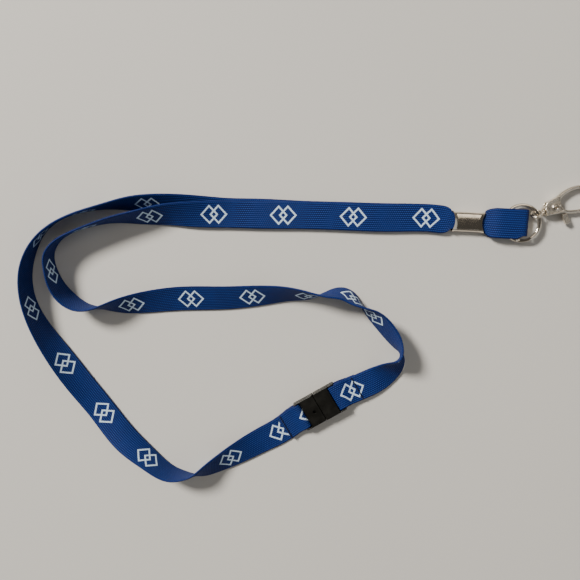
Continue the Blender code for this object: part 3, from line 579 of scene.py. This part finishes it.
def make_runs():
    """The two long runs."""
    outer_print = repeated([0.0293 + PRINT_PITCH * i for i in range(13) if i != 6] + [0.2385], FRONT)
    outer_print += repeated([0.4420 - PRINT_PITCH * i for i in range(12)] + [0.4745], BACK)
    inner_print = repeated(
        [0.022, 0.061, 0.099, 0.137, 0.172, 0.209, 0.245, 0.2865, 0.320, 0.354, 0.388, 0.4235,
         0.4620, 0.5008], FRONT,
    )
    inner_print += repeated(
        [0.028, 0.064, 0.100, 0.136, 0.172, 0.208, 0.236, 0.268, 0.300, 0.3334, 0.3679, 0.3989,
         0.4385, 0.475], BACK,
    )
    runs = (
        ("strap_outer_run", "webbing_outer_run", LOWER_LAYER_Z, OUTER_ROUTE, OUTER_END, outer_print),
        ("strap_inner_run", "webbing_inner_run", UPPER_LAYER_Z, INNER_ROUTE, INNER_END, inner_print),
    )
    for name, node, layer_z, route, end, prints in runs:
        stations = run_stations(layer_z, route, end)
        piece = add_piece(name, run_mesh(name, stations, prints), WEBBING, "webbing", node)
        if name == "strap_outer_run":
            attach(piece, "strap")
        else:
            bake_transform(piece)


make_camera()
make_runs()

# ---- the ring loop and the sewn ends ----

LOOP_WIDTH = 0.016
FOLD_AT = (28.6, 3.05)
FOLD_RADIUS = 2.3
LOOP_PULLED = 0.00175
LOOP_STEP = 0.0006
LOOP_ASIDE = 0.00015
LOOP_PRINT_SHORT = 0.0060


def loop_line():
    """The loop's middle line as (x, z) in millimetres: out of the crimp, round and back in."""
    low_layer = LOWER_LAYER_Z / MM
    high_layer = UPPER_LAYER_Z / MM
    fold = [
        (FOLD_AT[0] + FOLD_RADIUS * math.cos(a), FOLD_AT[1] + FOLD_RADIUS * math.sin(a))
        for a in np.linspace(-math.pi / 2, math.pi / 2, 13)
    ]
    low = fold[0][1]
    high = fold[-1][1]
    lower = [
        (0.3, low_layer), (4.5, low_layer), (8.7, low_layer - 0.03), (10.0, 1.2), (13.0, 0.85),
        (17.0, low + 0.01), (22.5, low), (26.5, low),
    ]
    upper = [
        (26.5, high), (22.5, high), (19.0, high), (16.8, high - 0.12), (14.6, 4.8), (12.6, 4.15),
        (10.0, 3.28), (8.7, high_layer + 0.07), (4.5, high_layer), (0.3, high_layer),
    ]
    return lower + fold + upper


def make_ring_loop():
    """The short loop that holds the ring, pulled in at its right corner by the ring's wire."""
    rows = natural_cubic([(x * MM, 0, z * MM) for x, z in loop_line()], LOOP_STEP)
    x = rows[:, 0]
    aside = np.clip((x - 0.009) / 0.002, 0, 1) * LOOP_ASIDE
    centres = np.stack([x, aside, rows[:, 2]], axis=-1)
    lefts = gathered_half(np.clip(x - CRIMP_END - MOUTH_CLEARANCE, 0, 1), LOOP_WIDTH / 2)
    pulled = np.clip((x - 0.025) / 0.0045, 0, 1)
    rights = lefts - LOOP_PULLED * pulled * pulled * (3 - 2 * pulled)
    acrosses = np.tile([0, 1.0, 0], (len(x), 1))
    length = float(np.linalg.norm(np.diff(centres, axis=0), axis=1).sum())
    prints = [(length / 2 - LOOP_PRINT_SHORT, BACK)]
    mesh = strap_mesh("ring_loop", centres, acrosses, lefts, rights, LOOP_WIDTH / 2, prints)
    piece = add_piece("ring_loop", facing_out(mesh), WEBBING, "webbing", "webbing_ring_loop")
    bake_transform(piece)


# Each sewn end in the buckle's frame, as x, z and y in millimetres.
SOCKET_TAIL = [
    (-9.75, 1.6, 0), (-9.75, 2.6, 0), (-9.85, 3.4, 0), (-10.4, 4.1, 0), (-11.3, 4.35, 0),
    (-12.4, 4.3, 0), (-13.6, 3.9, -0.05), (-15.0, 3.2, -0.15), (-16.6, 2.6, -0.35),
    (-18.6, 2.25, -0.6), (-21.2, 2.15, -0.95), (-23.8, 2.15, -1.3),
]
PLUG_TAIL = [
    (10.05, 3.4, 0), (10.05, 2.4, 0), (10.15, 1.6, 0), (10.55, 1.0, 0), (11.4, 0.68, 0),
    (13.0, 0.65, 0), (16.0, 0.65, -0.25), (19.0, 0.65, -0.85), (22.0, 0.65, -1.3),
    (24.6, 0.65, -1.6),
]


TAIL_STEP = 0.0005


def make_tail(name, path, prints, node, body):
    """A strap's end, turned round the buckle's bar and laid back on the strap."""
    rows = natural_cubic([(x * MM, y * MM, z * MM) for x, z, y in path], TAIL_STEP)
    turned = np.array(BUCKLE)
    centres = rows @ turned[:3, :3].T + turned[:3, 3]
    acrosses = np.tile(turned[:3, 1], (len(rows), 1))
    halves = np.full(len(rows), STRAP_WIDTH / 2)
    mesh = strap_mesh(name, centres, acrosses, halves, halves, STRAP_WIDTH / 2, prints)
    piece = add_piece(name, facing_out(mesh), WEBBING, "webbing", node)
    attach(piece, body)


STITCHES = 12
STITCH_RADIUS = 0.3
STITCH_INSET = 0.3
STITCH_SAG = 0.16
STITCH_SLANT = 0.09
STITCH_REACH = 0.46
STITCH_STEPS = 8


def tube_rings(points, radius, sides, flatness=1.0):
    """Rings of points for a round bar along a line. The radius may be one number or one each."""
    points = [Vector(p) for p in points]
    radii = radius if isinstance(radius, (list, tuple)) else [radius] * len(points)
    last = len(points) - 1
    side = None
    rings = []
    for i, point in enumerate(points):
        along = (points[min(i + 1, last)] - points[max(i - 1, 0)]).normalized()
        side = along.orthogonal().normalized() if side is None else side
        side = (side - along * side.dot(along)).normalized()
        up = along.cross(side)
        rings.append([
            point + side * (radii[i] * math.cos(k * math.tau / sides))
            + up * (radii[i] * flatness * math.sin(k * math.tau / sides))
            for k in range(sides)
        ])
    return rings


def loft(rings, built=None):
    """Joins rings of points with the same count, and closes both ends."""
    built = built or bmesh.new()
    rows = [[built.verts.new(point) for point in ring] for ring in rings]
    for first, second in zip(rows, rows[1:]):
        for i in range(len(first)):
            j = (i + 1) % len(first)
            built.faces.new((first[i], first[j], second[j], second[i]))
    built.faces.new(list(reversed(rows[0])))
    built.faces.new(rows[-1])
    return built


def to_mesh(name, built, placed):
    """A bmesh in millimetres in its own frame, as a mesh in metres in the world."""
    for vertex in built.verts:
        vertex.co = placed @ (vertex.co * MM)
    mesh = bpy.data.meshes.new(name)
    built.to_mesh(mesh)
    built.free()
    return mesh


def make_stitching(name, x, y_middle, z, node, body):
    """A row of stitches across the strap, each one a short arch of thread."""
    built = bmesh.new()
    half = STRAP_WIDTH / MM / 2 - STITCH_INSET
    pitch = 2 * half / STITCHES
    for i in range(STITCHES):
        y = y_middle - half + pitch * (i + 0.5)
        slant = STITCH_SLANT if i % 2 else -STITCH_SLANT
        arch = []
        radii = []
        for k in range(STITCH_STEPS + 1):
            part = k / STITCH_STEPS * 2 - 1
            height = z + 0.06 - STITCH_SAG * part**2
            arch.append((x + slant * part, y + part * pitch * STITCH_REACH, height))
            radii.append(STITCH_RADIUS * (1 - 0.35 * part**4))
        loft(tube_rings(arch, radii, 8, 0.8), built)
    piece = add_piece(name, facing_out(to_mesh(name, built, BUCKLE)), THREAD, "thread", node)
    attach(piece, body)


make_ring_loop()
make_tail("strap_socket_end", SOCKET_TAIL, [(-0.0022, BACK)], "webbing_end_socket_side", "strap")
make_tail("strap_plug_end", PLUG_TAIL, [], "webbing_end_plug_side", "plug")
make_stitching("socket_stitches", -22.4, -1.1, 3.05, "stitching_socket_side", "strap")
make_stitching("plug_stitches", 23.4, -1.5, 3.05, "stitching_plug_side", "plug")

# ---- the crimp ----

CRIMP_WALL = 0.5
CRIMP_RADIUS = 1.5
CRIMP_HALF_WIDE = 5.2
CRIMP_TOP = 4.3
CRIMP_HOLLOW = 1.4
CRIMP_LIP = 0.5
CRIMP_CROWN = 0.22
CRIMP_SEAM = (2.6, 2.9)
CRIMP_HALF_STATIONS = 24
LIP_START = 0.72
LIP_POWER = 2.2
TOP_STEPS = 16
UNDER_STEPS = 10
RIM_BEVEL = 0.12


def crimp_profile():
    """The sleeve's section as (y, z, outward y, outward z), from one side of its seam round."""
    flat = CRIMP_HALF_WIDE - CRIMP_RADIUS
    corners = [
        (flat, CRIMP_RADIUS, -90), (flat, CRIMP_TOP - CRIMP_RADIUS, 0),
        (-flat, CRIMP_TOP - CRIMP_RADIUS, 90), (-flat, CRIMP_RADIUS, 180),
    ]
    rows = [(CRIMP_SEAM[1], 0.0, 0.0, -1.0)]
    for y, z, start in corners:
        for i in range(11):
            turn = math.radians(start + i * 9)
            out_y, out_z = math.cos(turn), math.sin(turn)
            rows.append((y + out_y * CRIMP_RADIUS, z + out_z * CRIMP_RADIUS, out_y, out_z))
        if start == 0:
            for k in range(1, TOP_STEPS):
                rows.append((flat - 2 * flat * k / TOP_STEPS, CRIMP_TOP, 0.0, 1.0))
        if start == 180:
            for k in range(1, UNDER_STEPS):
                rows.append((-flat + (flat + CRIMP_SEAM[0]) * k / UNDER_STEPS, 0.0, 0.0, -1.0))
    rows.append((CRIMP_SEAM[0], 0.0, 0.0, -1.0))
    return rows


def make_crimp():
    """A folded steel sleeve with rolled lips, hollowed ends and its seam underneath."""
    profile = crimp_profile()
    built = bmesh.new()
    half_count = CRIMP_HALF_STATIONS
    stations = [math.sin(math.pi / 2 * k / half_count) for k in range(-half_count, half_count + 1)]
    half_long = CRIMP_END / MM
    skins = []
    for depth in (0.0, CRIMP_WALL):
        grid = []
        for station in stations:
            flare = max((abs(station) - LIP_START) / (1 - LIP_START), 0.0)**LIP_POWER
            row = []
            for y, z, out_y, out_z in profile:
                reach = half_long - CRIMP_HOLLOW * (1 - (y / CRIMP_HALF_WIDE)**2)
                raised = min(max(z / CRIMP_RADIUS, 0.0), 1.0)
                crown = CRIMP_CROWN * (1 - (y / CRIMP_HALF_WIDE)**2) * max(out_z, 0.0)
                lift = CRIMP_LIP * flare * raised + crown * (1 - flare) - depth
                row.append(built.verts.new((station * reach, y + out_y * lift, z + out_z * lift)))
            grid.append(row)
        skins.append(grid)
    outer, inner = skins
    last = len(profile) - 1
    for i in range(len(stations) - 1):
        for j in range(last):
            for grid in skins:
                built.faces.new((grid[i][j], grid[i][j + 1], grid[i + 1][j + 1], grid[i + 1][j]))
        for j in (0, last):
            built.faces.new((outer[i][j], outer[i + 1][j], inner[i + 1][j], inner[i][j]))
    for i in (0, len(stations) - 1):
        for j in range(last):
            built.faces.new((outer[i][j], outer[i][j + 1], inner[i][j + 1], inner[i][j]))
    rims = [e for e in built.edges if e.is_manifold and e.calc_face_angle(0) > math.radians(50)]
    bmesh.ops.bevel(built, geom=rims, offset=RIM_BEVEL, segments=3, profile=0.5, affect="EDGES")
    mesh = facing_out(to_mesh("crimp", built, Matrix.Identity(4)))
    mesh.set_sharp_from_angle(angle=math.radians(60))
    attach(add_piece("crimp", mesh, NICKEL, "nickel", "crimp_sleeve"), "strap")


make_crimp()

# ---- solids made by joining and cutting ----


def box(low, high, bevel=0.0):
    """A box between two corners, with its edges rounded if a bevel is given."""
    built = bmesh.new()
    size = Vector(high) - Vector(low)
    placed = Matrix.Translation((Vector(high) + Vector(low)) / 2) @ Matrix.Diagonal((*size, 1.0))
    bmesh.ops.create_cube(built, size=1.0, matrix=placed)
    if bevel:
        bmesh.ops.bevel(
            built, geom=built.edges[:], offset=bevel, segments=4, profile=0.5, affect="EDGES",
        )
    return built


def prism(outline, low, high):
    """A flat outline in u and v, raised from one w to the other."""
    return loft([[Vector((u, v, w)) for u, v in outline] for w in (low, high)])


def disc_outline(centre, radius, count=48):
    """Points round a circle in u and v."""
    turns = [math.tau * i / count for i in range(count)]
    return [(centre[0] + radius * math.cos(a), centre[1] + radius * math.sin(a)) for a in turns]


def turned(profile, count=48):
    """A turned shape about w from (w, radius) points."""
    return loft([[
        Vector((r * math.cos(k * math.tau / count), r * math.sin(k * math.tau / count), w))
        for k in range(count)
    ] for w, r in profile])


def along_u(built):
    """Lays a shape made about w so that it runs along u."""
    turn = Matrix.Rotation(math.radians(90), 4, "Y")
    bmesh.ops.transform(built, matrix=turn, verts=built.verts)
    return built


def along_v(built):
    """Lays a shape made about w so that it runs along v."""
    turn = Matrix.Rotation(math.radians(90), 4, "X")
    bmesh.ops.transform(built, matrix=turn, verts=built.verts)
    return built


def moved(built, offset):
    bmesh.ops.translate(built, vec=Vector(offset), verts=built.verts)
    return built


def scratch_object(built):
    """A passing object for a Boolean, which carved removes again."""
    bmesh.ops.recalc_face_normals(built, faces=built.faces)
    mesh = bpy.data.meshes.new("scratch")
    built.to_mesh(mesh)
    built.free()
    made = bpy.data.objects.new("scratch", mesh)
    bpy.context.scene.collection.objects.link(made)
    return made


def carved(name, base, steps, placed, finishers):
    """Joins and cuts shapes in their own frame, finishes the result and puts it in the world.

    steps holds ("UNION" or "DIFFERENCE", shape). finishers holds (modifier type, settings).
    """
    body = scratch_object(base)
    helpers = []
    for operation, shape in steps:
        other = scratch_object(shape)
        helpers.append(other)
        modifier = body.modifiers.new("step", "BOOLEAN")
        modifier.operation = operation
        modifier.solver = "EXACT"
        modifier.object = other
    for kind, settings in finishers:
        modifier = body.modifiers.new("finish", kind)
        for key, value in settings.items():
            setattr(modifier, key, value)
    bpy.context.view_layer.update()
    graph = bpy.context.evaluated_depsgraph_get()
    mesh = bpy.data.meshes.new_from_object(body.evaluated_get(graph))
    mesh.name = name
    for used in [body, *helpers]:
        bpy.data.objects.remove(used, do_unlink=True)
    mesh.transform(placed @ Matrix.Scale(MM, 4))
    return mesh


def cast_finish(voxel, rounds):
    """Softens every edge as a moulding's are. The voxel size is in millimetres."""
    return [
        ("REMESH", {"mode": "VOXEL", "voxel_size": voxel, "use_smooth_shade": True}),
        ("SMOOTH", {"factor": 0.5, "iterations": rounds}),
    ]


# ---- the buckle ----

HALF_WIDTH = 8.4
SLOT_HALF = 7.75
BAR_Z = (1.7, 3.5)
SOCKET_SIZE = (-12.4, -0.1, 5.2)
PLUG_SIZE = (0.15, 13.0, 5.6)
SOCKET_SLOT = (-11.0, -8.6)
PLUG_SLOT = (8.8, 11.4)
CAVITY_Z = (1.3, 4.2)
CAVITY_REACH = (5.9, 6.0)
TONGUE_GAP = 0.3
BUTTON_AT = (-3.6, -0.8)
BUTTON_HOLE = 1.0
BUTTON_RADIUS = 0.7
SHELL_EDGE = 0.5
BUCKLE_VOXEL = 0.11


def strap_slot_cuts(slot, bar_end, height):
    """The slot for the strap, and the hollows that leave its bar thinner than the frame."""
    sign = math.copysign(1.0, bar_end)
    inner_x = slot[1] if bar_end > 0 else slot[0]
    x_low, x_high = sorted((inner_x - 0.5 * sign, bar_end + sign))
    return [
        ("DIFFERENCE", box((slot[0], -SLOT_HALF, -1), (slot[1], SLOT_HALF, height + 1))),
        ("DIFFERENCE", box((x_low, -SLOT_HALF, BAR_Z[1]), (x_high, SLOT_HALF, height + 1))),
        ("DIFFERENCE", box((x_low, -SLOT_HALF, -1), (x_high, SLOT_HALF, BAR_Z[0]))),
    ]


def make_buckle():
    """Both halves of the breakaway buckle, moulded in black plastic."""
    low, high, top = SOCKET_SIZE
    cuts = strap_slot_cuts(SOCKET_SLOT, low, top)
    deep, half = CAVITY_REACH
    cavity = box((-deep, -half, CAVITY_Z[0]), (1, half, CAVITY_Z[1]))
    detent = prism(disc_outline(BUTTON_AT, BUTTON_HOLE, 32), CAVITY_Z[1] - 0.5, top + 1)
    cuts += [("DIFFERENCE", cavity), ("DIFFERENCE", detent)]
    shell = box((low, -HALF_WIDTH, 0), (high, HALF_WIDTH, top), SHELL_EDGE)
    mesh = carved("buckle_socket_shell", shell, cuts, BUCKLE, cast_finish(BUCKLE_VOXEL, 3))
    piece = add_piece("buckle_socket_shell", mesh, PLASTIC, "buckle_plastic", "buckle_socket")
    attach(piece, "strap")
    low, high, top = PLUG_SIZE
    steps = strap_slot_cuts(PLUG_SLOT, high, top)
    half -= TONGUE_GAP
    tongue = box(
        (TONGUE_GAP - deep, -half, CAVITY_Z[0] + TONGUE_GAP),
        (1.5, half, CAVITY_Z[1] - TONGUE_GAP), 0.25,
    )
    button = prism(disc_outline(BUTTON_AT, BUTTON_RADIUS, 32), 2.5, CAVITY_Z[1] - 0.05)
    steps += [("UNION", tongue), ("UNION", button)]
    shell = box((low, -HALF_WIDTH, 0), (high, HALF_WIDTH, top), SHELL_EDGE)
    mesh = carved("buckle_plug_shell", shell, steps, BUCKLE, cast_finish(BUCKLE_VOXEL, 3))
    piece = add_piece("buckle_plug_shell", mesh, PLASTIC, "buckle_plastic", "buckle_plug")
    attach(piece, "plug")


make_buckle()

# ---- the split ring ----

RING_RADIUS = 9.4
RING_WIDE = 1.7
RING_HIGH = 1.2
RING_TURN_GAP = 0.1
RING_END_GAP = math.radians(22)
RING_START = math.radians(-75)
RING_STEPS = 320


def rounded_bar(half_wide, half_high, power, count):
    """Points round a bar's section with soft corners, as (across, up)."""
    rows = []
    for k in range(count):
        c, s = math.cos(k * math.tau / count), math.sin(k * math.tau / count)
        across = half_wide * math.copysign(abs(c)**power, c)
        up = half_high * math.copysign(abs(s)**power, s)
        rows.append((across, up))
    return rows


def make_ring():
    """Flat wire in nearly two turns, which steps up from the lower turn to the upper one."""
    level = (RING_HIGH + RING_TURN_GAP) / 2
    section = rounded_bar(RING_WIDE / 2, RING_HIGH / 2, 0.6, 20)
    rings = []
    for i in range(RING_STEPS + 1):
        angle = RING_END_GAP + (2 * math.tau - 2 * RING_END_GAP) * i / RING_STEPS
        part = min(max((angle - (math.tau - RING_END_GAP)) / (2 * RING_END_GAP), 0.0), 1.0)
        height = level * (2 * part * part * (3 - 2 * part) - 1)
        out = Vector((math.cos(RING_START + angle), math.sin(RING_START + angle), 0))
        near_end = min(i, RING_STEPS - i)
        taper = math.sqrt(min(1.0, 0.25 + near_end * 0.25))
        rings.append([
            out * (RING_RADIUS + a * taper) + Vector((0, 0, height + b * taper)) for a, b in section
        ])
    mesh = facing_out(to_mesh("key_ring", loft(rings), Matrix.Translation(RING_AT)))
    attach(add_piece("key_ring", mesh, NICKEL, "nickel", "split_ring"), "ring")


make_ring()

# ---- the trigger clasp ----

EYE_OUTER = 3.4
EYE_HOLE = 2.35
EYE_THICK = 1.3
EYE_BACK = 0.4
EYE_TILT = 32
COLLAR_RADIUS = 1.75
FLANGE_AT = 3.6
STEM_RADIUS = 1.1
STEM_HEAD = (1.45, 2.35, 1.6)
CHEEK_HALF = 2.3
GATE_SLOT_HALF = 1.35
RIVET_AT = (5.7, -0.1)
RIVET_RADIUS = 0.9
HUB_RADIUS = 2.2
HUB_CLEARANCE = 2.55
HUB_W = (-1.1, 0.05)
HEAD_CAVITY = (1.2, 2.7, 1.85)
PIVOT_SLACK = 0.15
EYE_VOXEL = 0.09
CLASP_VOXEL = 0.11
GATE_VOXEL = 0.09


def make_eye():
    """The leaning eye on the ring, with the stem whose head turns inside the clasp."""
    lean = Matrix.Translation((-EYE_BACK, 0, 0)) @ Matrix.Rotation(math.radians(EYE_TILT), 4, "X")
    disc = along_v(turned([
        (-EYE_THICK / 2, EYE_OUTER - 0.35), (-EYE_THICK / 2 + 0.12, EYE_OUTER - 0.12),
        (-EYE_THICK / 2 + 0.4, EYE_OUTER), (EYE_THICK / 2 - 0.4, EYE_OUTER),
        (EYE_THICK / 2 - 0.12, EYE_OUTER - 0.12), (EYE_THICK / 2, EYE_OUTER - 0.35),
    ], 64))
    hole = along_v(turned([(-2, EYE_HOLE + 0.05), (2, EYE_HOLE + 0.05)], 48))
    for shape in (disc, hole):
        bmesh.ops.transform(shape, matrix=lean, verts=shape.verts)
    head_start, head_end, head_radius = STEM_HEAD
    rim = EYE_OUTER - EYE_BACK
    stem = along_u(turned([
        (rim - 0.75, 0.55), (rim - 0.4, STEM_RADIUS), (rim - 0.15, COLLAR_RADIUS),
        (rim + 0.25, COLLAR_RADIUS), (rim + 0.35, COLLAR_RADIUS - 0.15), (rim + 0.35, STEM_RADIUS),
        (FLANGE_AT + head_start, STEM_RADIUS),
        (FLANGE_AT + head_start, head_radius - 0.1), (FLANGE_AT + head_start + 0.15, head_radius),
        (FLANGE_AT + head_end - 0.3, head_radius), (FLANGE_AT + head_end, head_radius - 0.4),
    ], 40))
    steps = [("DIFFERENCE", hole), ("UNION", stem)]
    mesh = carved("swivel_eye_casting", disc, steps, CLASP, cast_finish(EYE_VOXEL, 5))
    piece = add_piece("swivel_eye_casting", facing_out(mesh), CAST_NICKEL, "nickel", "swivel_eye")
    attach(piece, "eye")


def swept_bar(points, step, halves, half_high):
    """A bar along a smooth flat path, tapering from the first half width to the second."""
    path = [(row[0], row[1]) for row in natural_cubic([(u, v, 0) for u, v in points], step)]
    last = len(path) - 1
    rings = []
    for i, (u, v) in enumerate(path):
        ahead = Vector(path[min(i + 1, last)]) - Vector(path[max(i - 1, 0)])
        normal = Vector((-ahead.y, ahead.x)).normalized()
        half = halves[0] + (halves[1] - halves[0]) * i / last
        rings.append([
            Vector((u + normal.x * a, v + normal.y * a, b))
            for a, b in rounded_bar(half, half_high, 0.55, 24)
        ])
    return loft(rings)


# The clasp's outlines in its own frame, in millimetres beyond its flange.
HOOK_END = (27.1, -5.5)
HOOK = [
    (6.5, 3.1), (9.0, 4.2), (12, 5.4), (17, 6.3), (22, 5.6), (26, 3.4), (28.3, 0), (28.3, -3.0),
    HOOK_END,
]
WEDGE = [
    (0.9, -2.6), (10.6, -4.2), (9.9, -2.9), (9.1, -1.2), (8.8, 0.6), (9.0, 2.4), (9.9, 5.15),
    (2.4, 4.1), (0.9, 2.6),
]
PANEL = [
    (1.9, -1.7), (3.6, -2.3), (8.6, -2.9), (7.9, -0.9), (7.8, 1.2), (8.5, 3.9), (3.2, 3.3),
    (1.9, 2.1),
]
PANEL_DEPTH = 0.28
BOSS_RADIUS = 2.0


def make_clasp():
    """Flange, slotted cheeks with sunk panels, and hook in one die casting."""
    offset = (FLANGE_AT, 0, 0)
    wedge = moved(prism(WEDGE, -CHEEK_HALF, CHEEK_HALF), offset)
    flange = moved(along_u(turned([(0, 2.6), (0.2, 2.8), (1.0, 2.8), (1.2, 2.6)])), offset)
    hook = moved(swept_bar(HOOK, 0.6, (1.15, 0.75), 1.5), offset)
    knob = turned([(-1.2, 0.5), (-0.8, 0.72), (0.8, 0.72), (1.2, 0.5)], 24)
    tip = moved(knob, (FLANGE_AT + HOOK_END[0], HOOK_END[1], 0))
    u0, v0 = RIVET_AT
    back = [
        (u0 + HUB_CLEARANCE * math.cos(a), v0 + HUB_CLEARANCE * math.sin(a))
        for a in (math.radians(d) for d in range(80, 281, 10))
    ]
    open_end = [(u0 + 0.6, -8), (14, -8), (14, v0 + HUB_CLEARANCE + 0.2)]
    slot = prism(back + open_end, -GATE_SLOT_HALF, GATE_SLOT_HALF)
    start, end, half = HEAD_CAVITY
    cuts = [
        slot, box((start, -6, -half), (end, 6, half)),
        along_u(turned([(-1, STEM_RADIUS + PIVOT_SLACK), (start + 0.3, STEM_RADIUS + PIVOT_SLACK)])),
        prism(disc_outline(RIVET_AT, RIVET_RADIUS + PIVOT_SLACK, 32), -4, 4),
    ]
    steps = []
    for side in (-1, 1):
        floor_w = side * (CHEEK_HALF - PANEL_DEPTH)
        panel = prism(PANEL, *sorted((floor_w, side * (CHEEK_HALF + 1))))
        boss = prism(disc_outline(RIVET_AT, BOSS_RADIUS), *sorted((side * 1.6, side * CHEEK_HALF)))
        steps += [("DIFFERENCE", moved(panel, offset)), ("UNION", moved(boss, offset))]
    steps += [("UNION", flange), ("UNION", hook), ("UNION", tip)]
    steps += [("DIFFERENCE", moved(cut, offset)) for cut in cuts]
    mesh = carved("clasp_casting", wedge, steps, CLASP, cast_finish(CLASP_VOXEL, 4))
    piece = add_piece("clasp_casting", facing_out(mesh), CAST_NICKEL, "nickel", "clasp_body")
    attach(piece, "clasp")


def make_rivet():
    """The gate's pivot pin, a hollow rivet rolled over into a domed ring on each side."""
    seat = CHEEK_HALF + 0.06
    head = [
        (-seat + 0.9, 0.02), (-seat + 0.9, 0.50), (-seat - 0.12, 0.56), (-seat - 0.36, 0.66),
        (-seat - 0.45, 0.88), (-seat - 0.42, 1.15), (-seat - 0.3, 1.5), (-seat - 0.12, 1.75),
        (-seat, 1.8), (-seat, 1.2), (-seat + 0.2, RIVET_RADIUS),
    ]
    profile = head + [(-w, r) for w, r in reversed(head)]
    mesh = facing_out(to_mesh("rivet", turned(profile, 40), GATE))
    mesh.set_sharp_from_angle(angle=math.radians(50))
    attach(add_piece("rivet", mesh, NICKEL, "nickel", "pivot_rivet"), "clasp")


ARM_HALF = 1.05


def make_gate():
    """The spring gate: a hub on the rivet, the arm that closes the hook and the thumb tab."""
    hub = turned([
        (HUB_W[0], HUB_RADIUS - 0.1), (HUB_W[0] + 0.1, HUB_RADIUS),
        (HUB_W[1] - 0.1, HUB_RADIUS), (HUB_W[1], HUB_RADIUS - 0.1),
    ], 56)
    root = prism([(0.9, -1.9), (2.6, -3.9), (3.9, -2.6), (1.6, 0.6)], *HUB_W)
    line = [(2.3, -2.4), (5.0, -4.0), (8.6, -5.3), (13.4, -6.1), (20.0, -5.5)]
    arm = swept_bar(line, 0.7, (1.0, 0.75), ARM_HALF)
    tab = prism(
        [(2.2, -4.6), (4.9, -4.9), (5.3, -9.7), (4.6, -10.3), (3.2, -10.35), (2.6, -9.9)],
        -ARM_HALF, ARM_HALF,
    )
    bore = prism(disc_outline((0, 0), RIVET_RADIUS + PIVOT_SLACK, 32), -4, 4)
    steps = [("UNION", root), ("UNION", arm), ("UNION", tab), ("DIFFERENCE", bore)]
    mesh = carved("gate_casting", hub, steps, GATE, cast_finish(GATE_VOXEL, 4))
    piece = add_piece("gate_casting", facing_out(mesh), CAST_NICKEL, "nickel", "gate_lever")
    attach(piece, "gate")


SPRING_TURNS = 1.5
SPRING_STEPS = 90
SPRING_W = (0.40, 1.04)
SPRING_RADIUS = 1.5
SPRING_WIRE = 0.17
SPRING_START = math.radians(-60)


def make_spring():
    """A torsion spring beside the hub."""
    low, high = SPRING_W
    points = []
    for i in range(SPRING_STEPS + 1):
        part = i / SPRING_STEPS
        angle = SPRING_START + math.tau * SPRING_TURNS * part
        out = Vector((math.cos(angle), math.sin(angle), 0)) * SPRING_RADIUS
        points.append(out + Vector((0, 0, low + (high - low) * part)))
    ahead = (points[-1] - points[-2]).normalized()
    points += [points[-1] + ahead * 0.2, points[-1] + ahead * 0.5]
    mesh = facing_out(to_mesh("torsion_spring", loft(tube_rings(points, SPRING_WIRE, 12)), GATE))
    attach(add_piece("torsion_spring", mesh, SPRING_STEEL, "spring_steel", "gate_spring"), "gate")


make_eye()
make_clasp()
make_rivet()
make_gate()
make_spring()

# ---- floor and light ----


FLOOR_HALF = 5.0


def make_floor():
    """A plain pale table top, just below the lanyard."""
    mesh = bpy.data.meshes.new("floor")
    corners = [(x * FLOOR_HALF, y * FLOOR_HALF) for x, y in ((-1, -1), (1, -1), (1, 1), (-1, 1))]
    mesh.from_pydata([(x, y, -TABLE_GAP) for x, y in corners], [], [(0, 1, 2, 3)])
    graph = Graph("pale_floor")
    soft = graph.noise(3.0, 2.0)
    colour = graph.mix(soft, (0.60, 0.585, 0.56), (0.66, 0.645, 0.62))
    mesh.materials.append(graph.finish(base_color=colour, roughness=0.8))
    floor = bpy.data.objects.new("floor", mesh)
    bpy.context.scene.collection.objects.link(floor)


def make_light(name, place, size, power, colour):
    """A soft round light, which looks at the middle of the camera's view."""
    data = bpy.data.lights.new(name, "AREA")
    data.shape = "DISK"
    data.size = size
    data.energy = power
    data.color = colour
    light = bpy.data.objects.new(name, data)
    bpy.context.scene.collection.objects.link(light)
    towards = CAMERA_TARGET - Vector(place)
    light.rotation_euler = towards.to_track_quat("-Z", "Y").to_euler()
    light.location = place


def make_world():
    """A dim soft surround, brighter towards the horizon than overhead."""
    world = bpy.data.worlds.new("studio")
    world.use_nodes = True
    nodes = world.node_tree.nodes
    links = world.node_tree.links
    source = nodes.new("ShaderNodeTexCoord")
    split = nodes.new("ShaderNodeSeparateXYZ")
    links.new(source.outputs["Generated"], split.inputs[0])
    fade = nodes.new("ShaderNodeMapRange")
    links.new(split.outputs[2], fade.inputs["Value"])
    fade.inputs["From Min"].default_value = 0.2
    fade.inputs["From Max"].default_value = 0.95
    fade.inputs["To Min"].default_value = 0.30
    fade.inputs["To Max"].default_value = 0.06
    links.new(fade.outputs[0], nodes["Background"].inputs["Strength"])
    nodes["Background"].inputs["Color"].default_value = (1.0, 0.96, 0.90, 1.0)
    bpy.context.scene.world = world


make_floor()
make_light("key", (-1.95, 1.35, 1.90), 0.74, 152.0, (1.0, 0.95, 0.86))
make_light("fill", (1.84, -0.96, 2.10), 2.7, 8.0, (0.92, 0.96, 1.0))
make_light("overhead", (0.71, 1.02, 3.0), 1.4, 7.8, (1.0, 0.92, 0.80))
make_world()
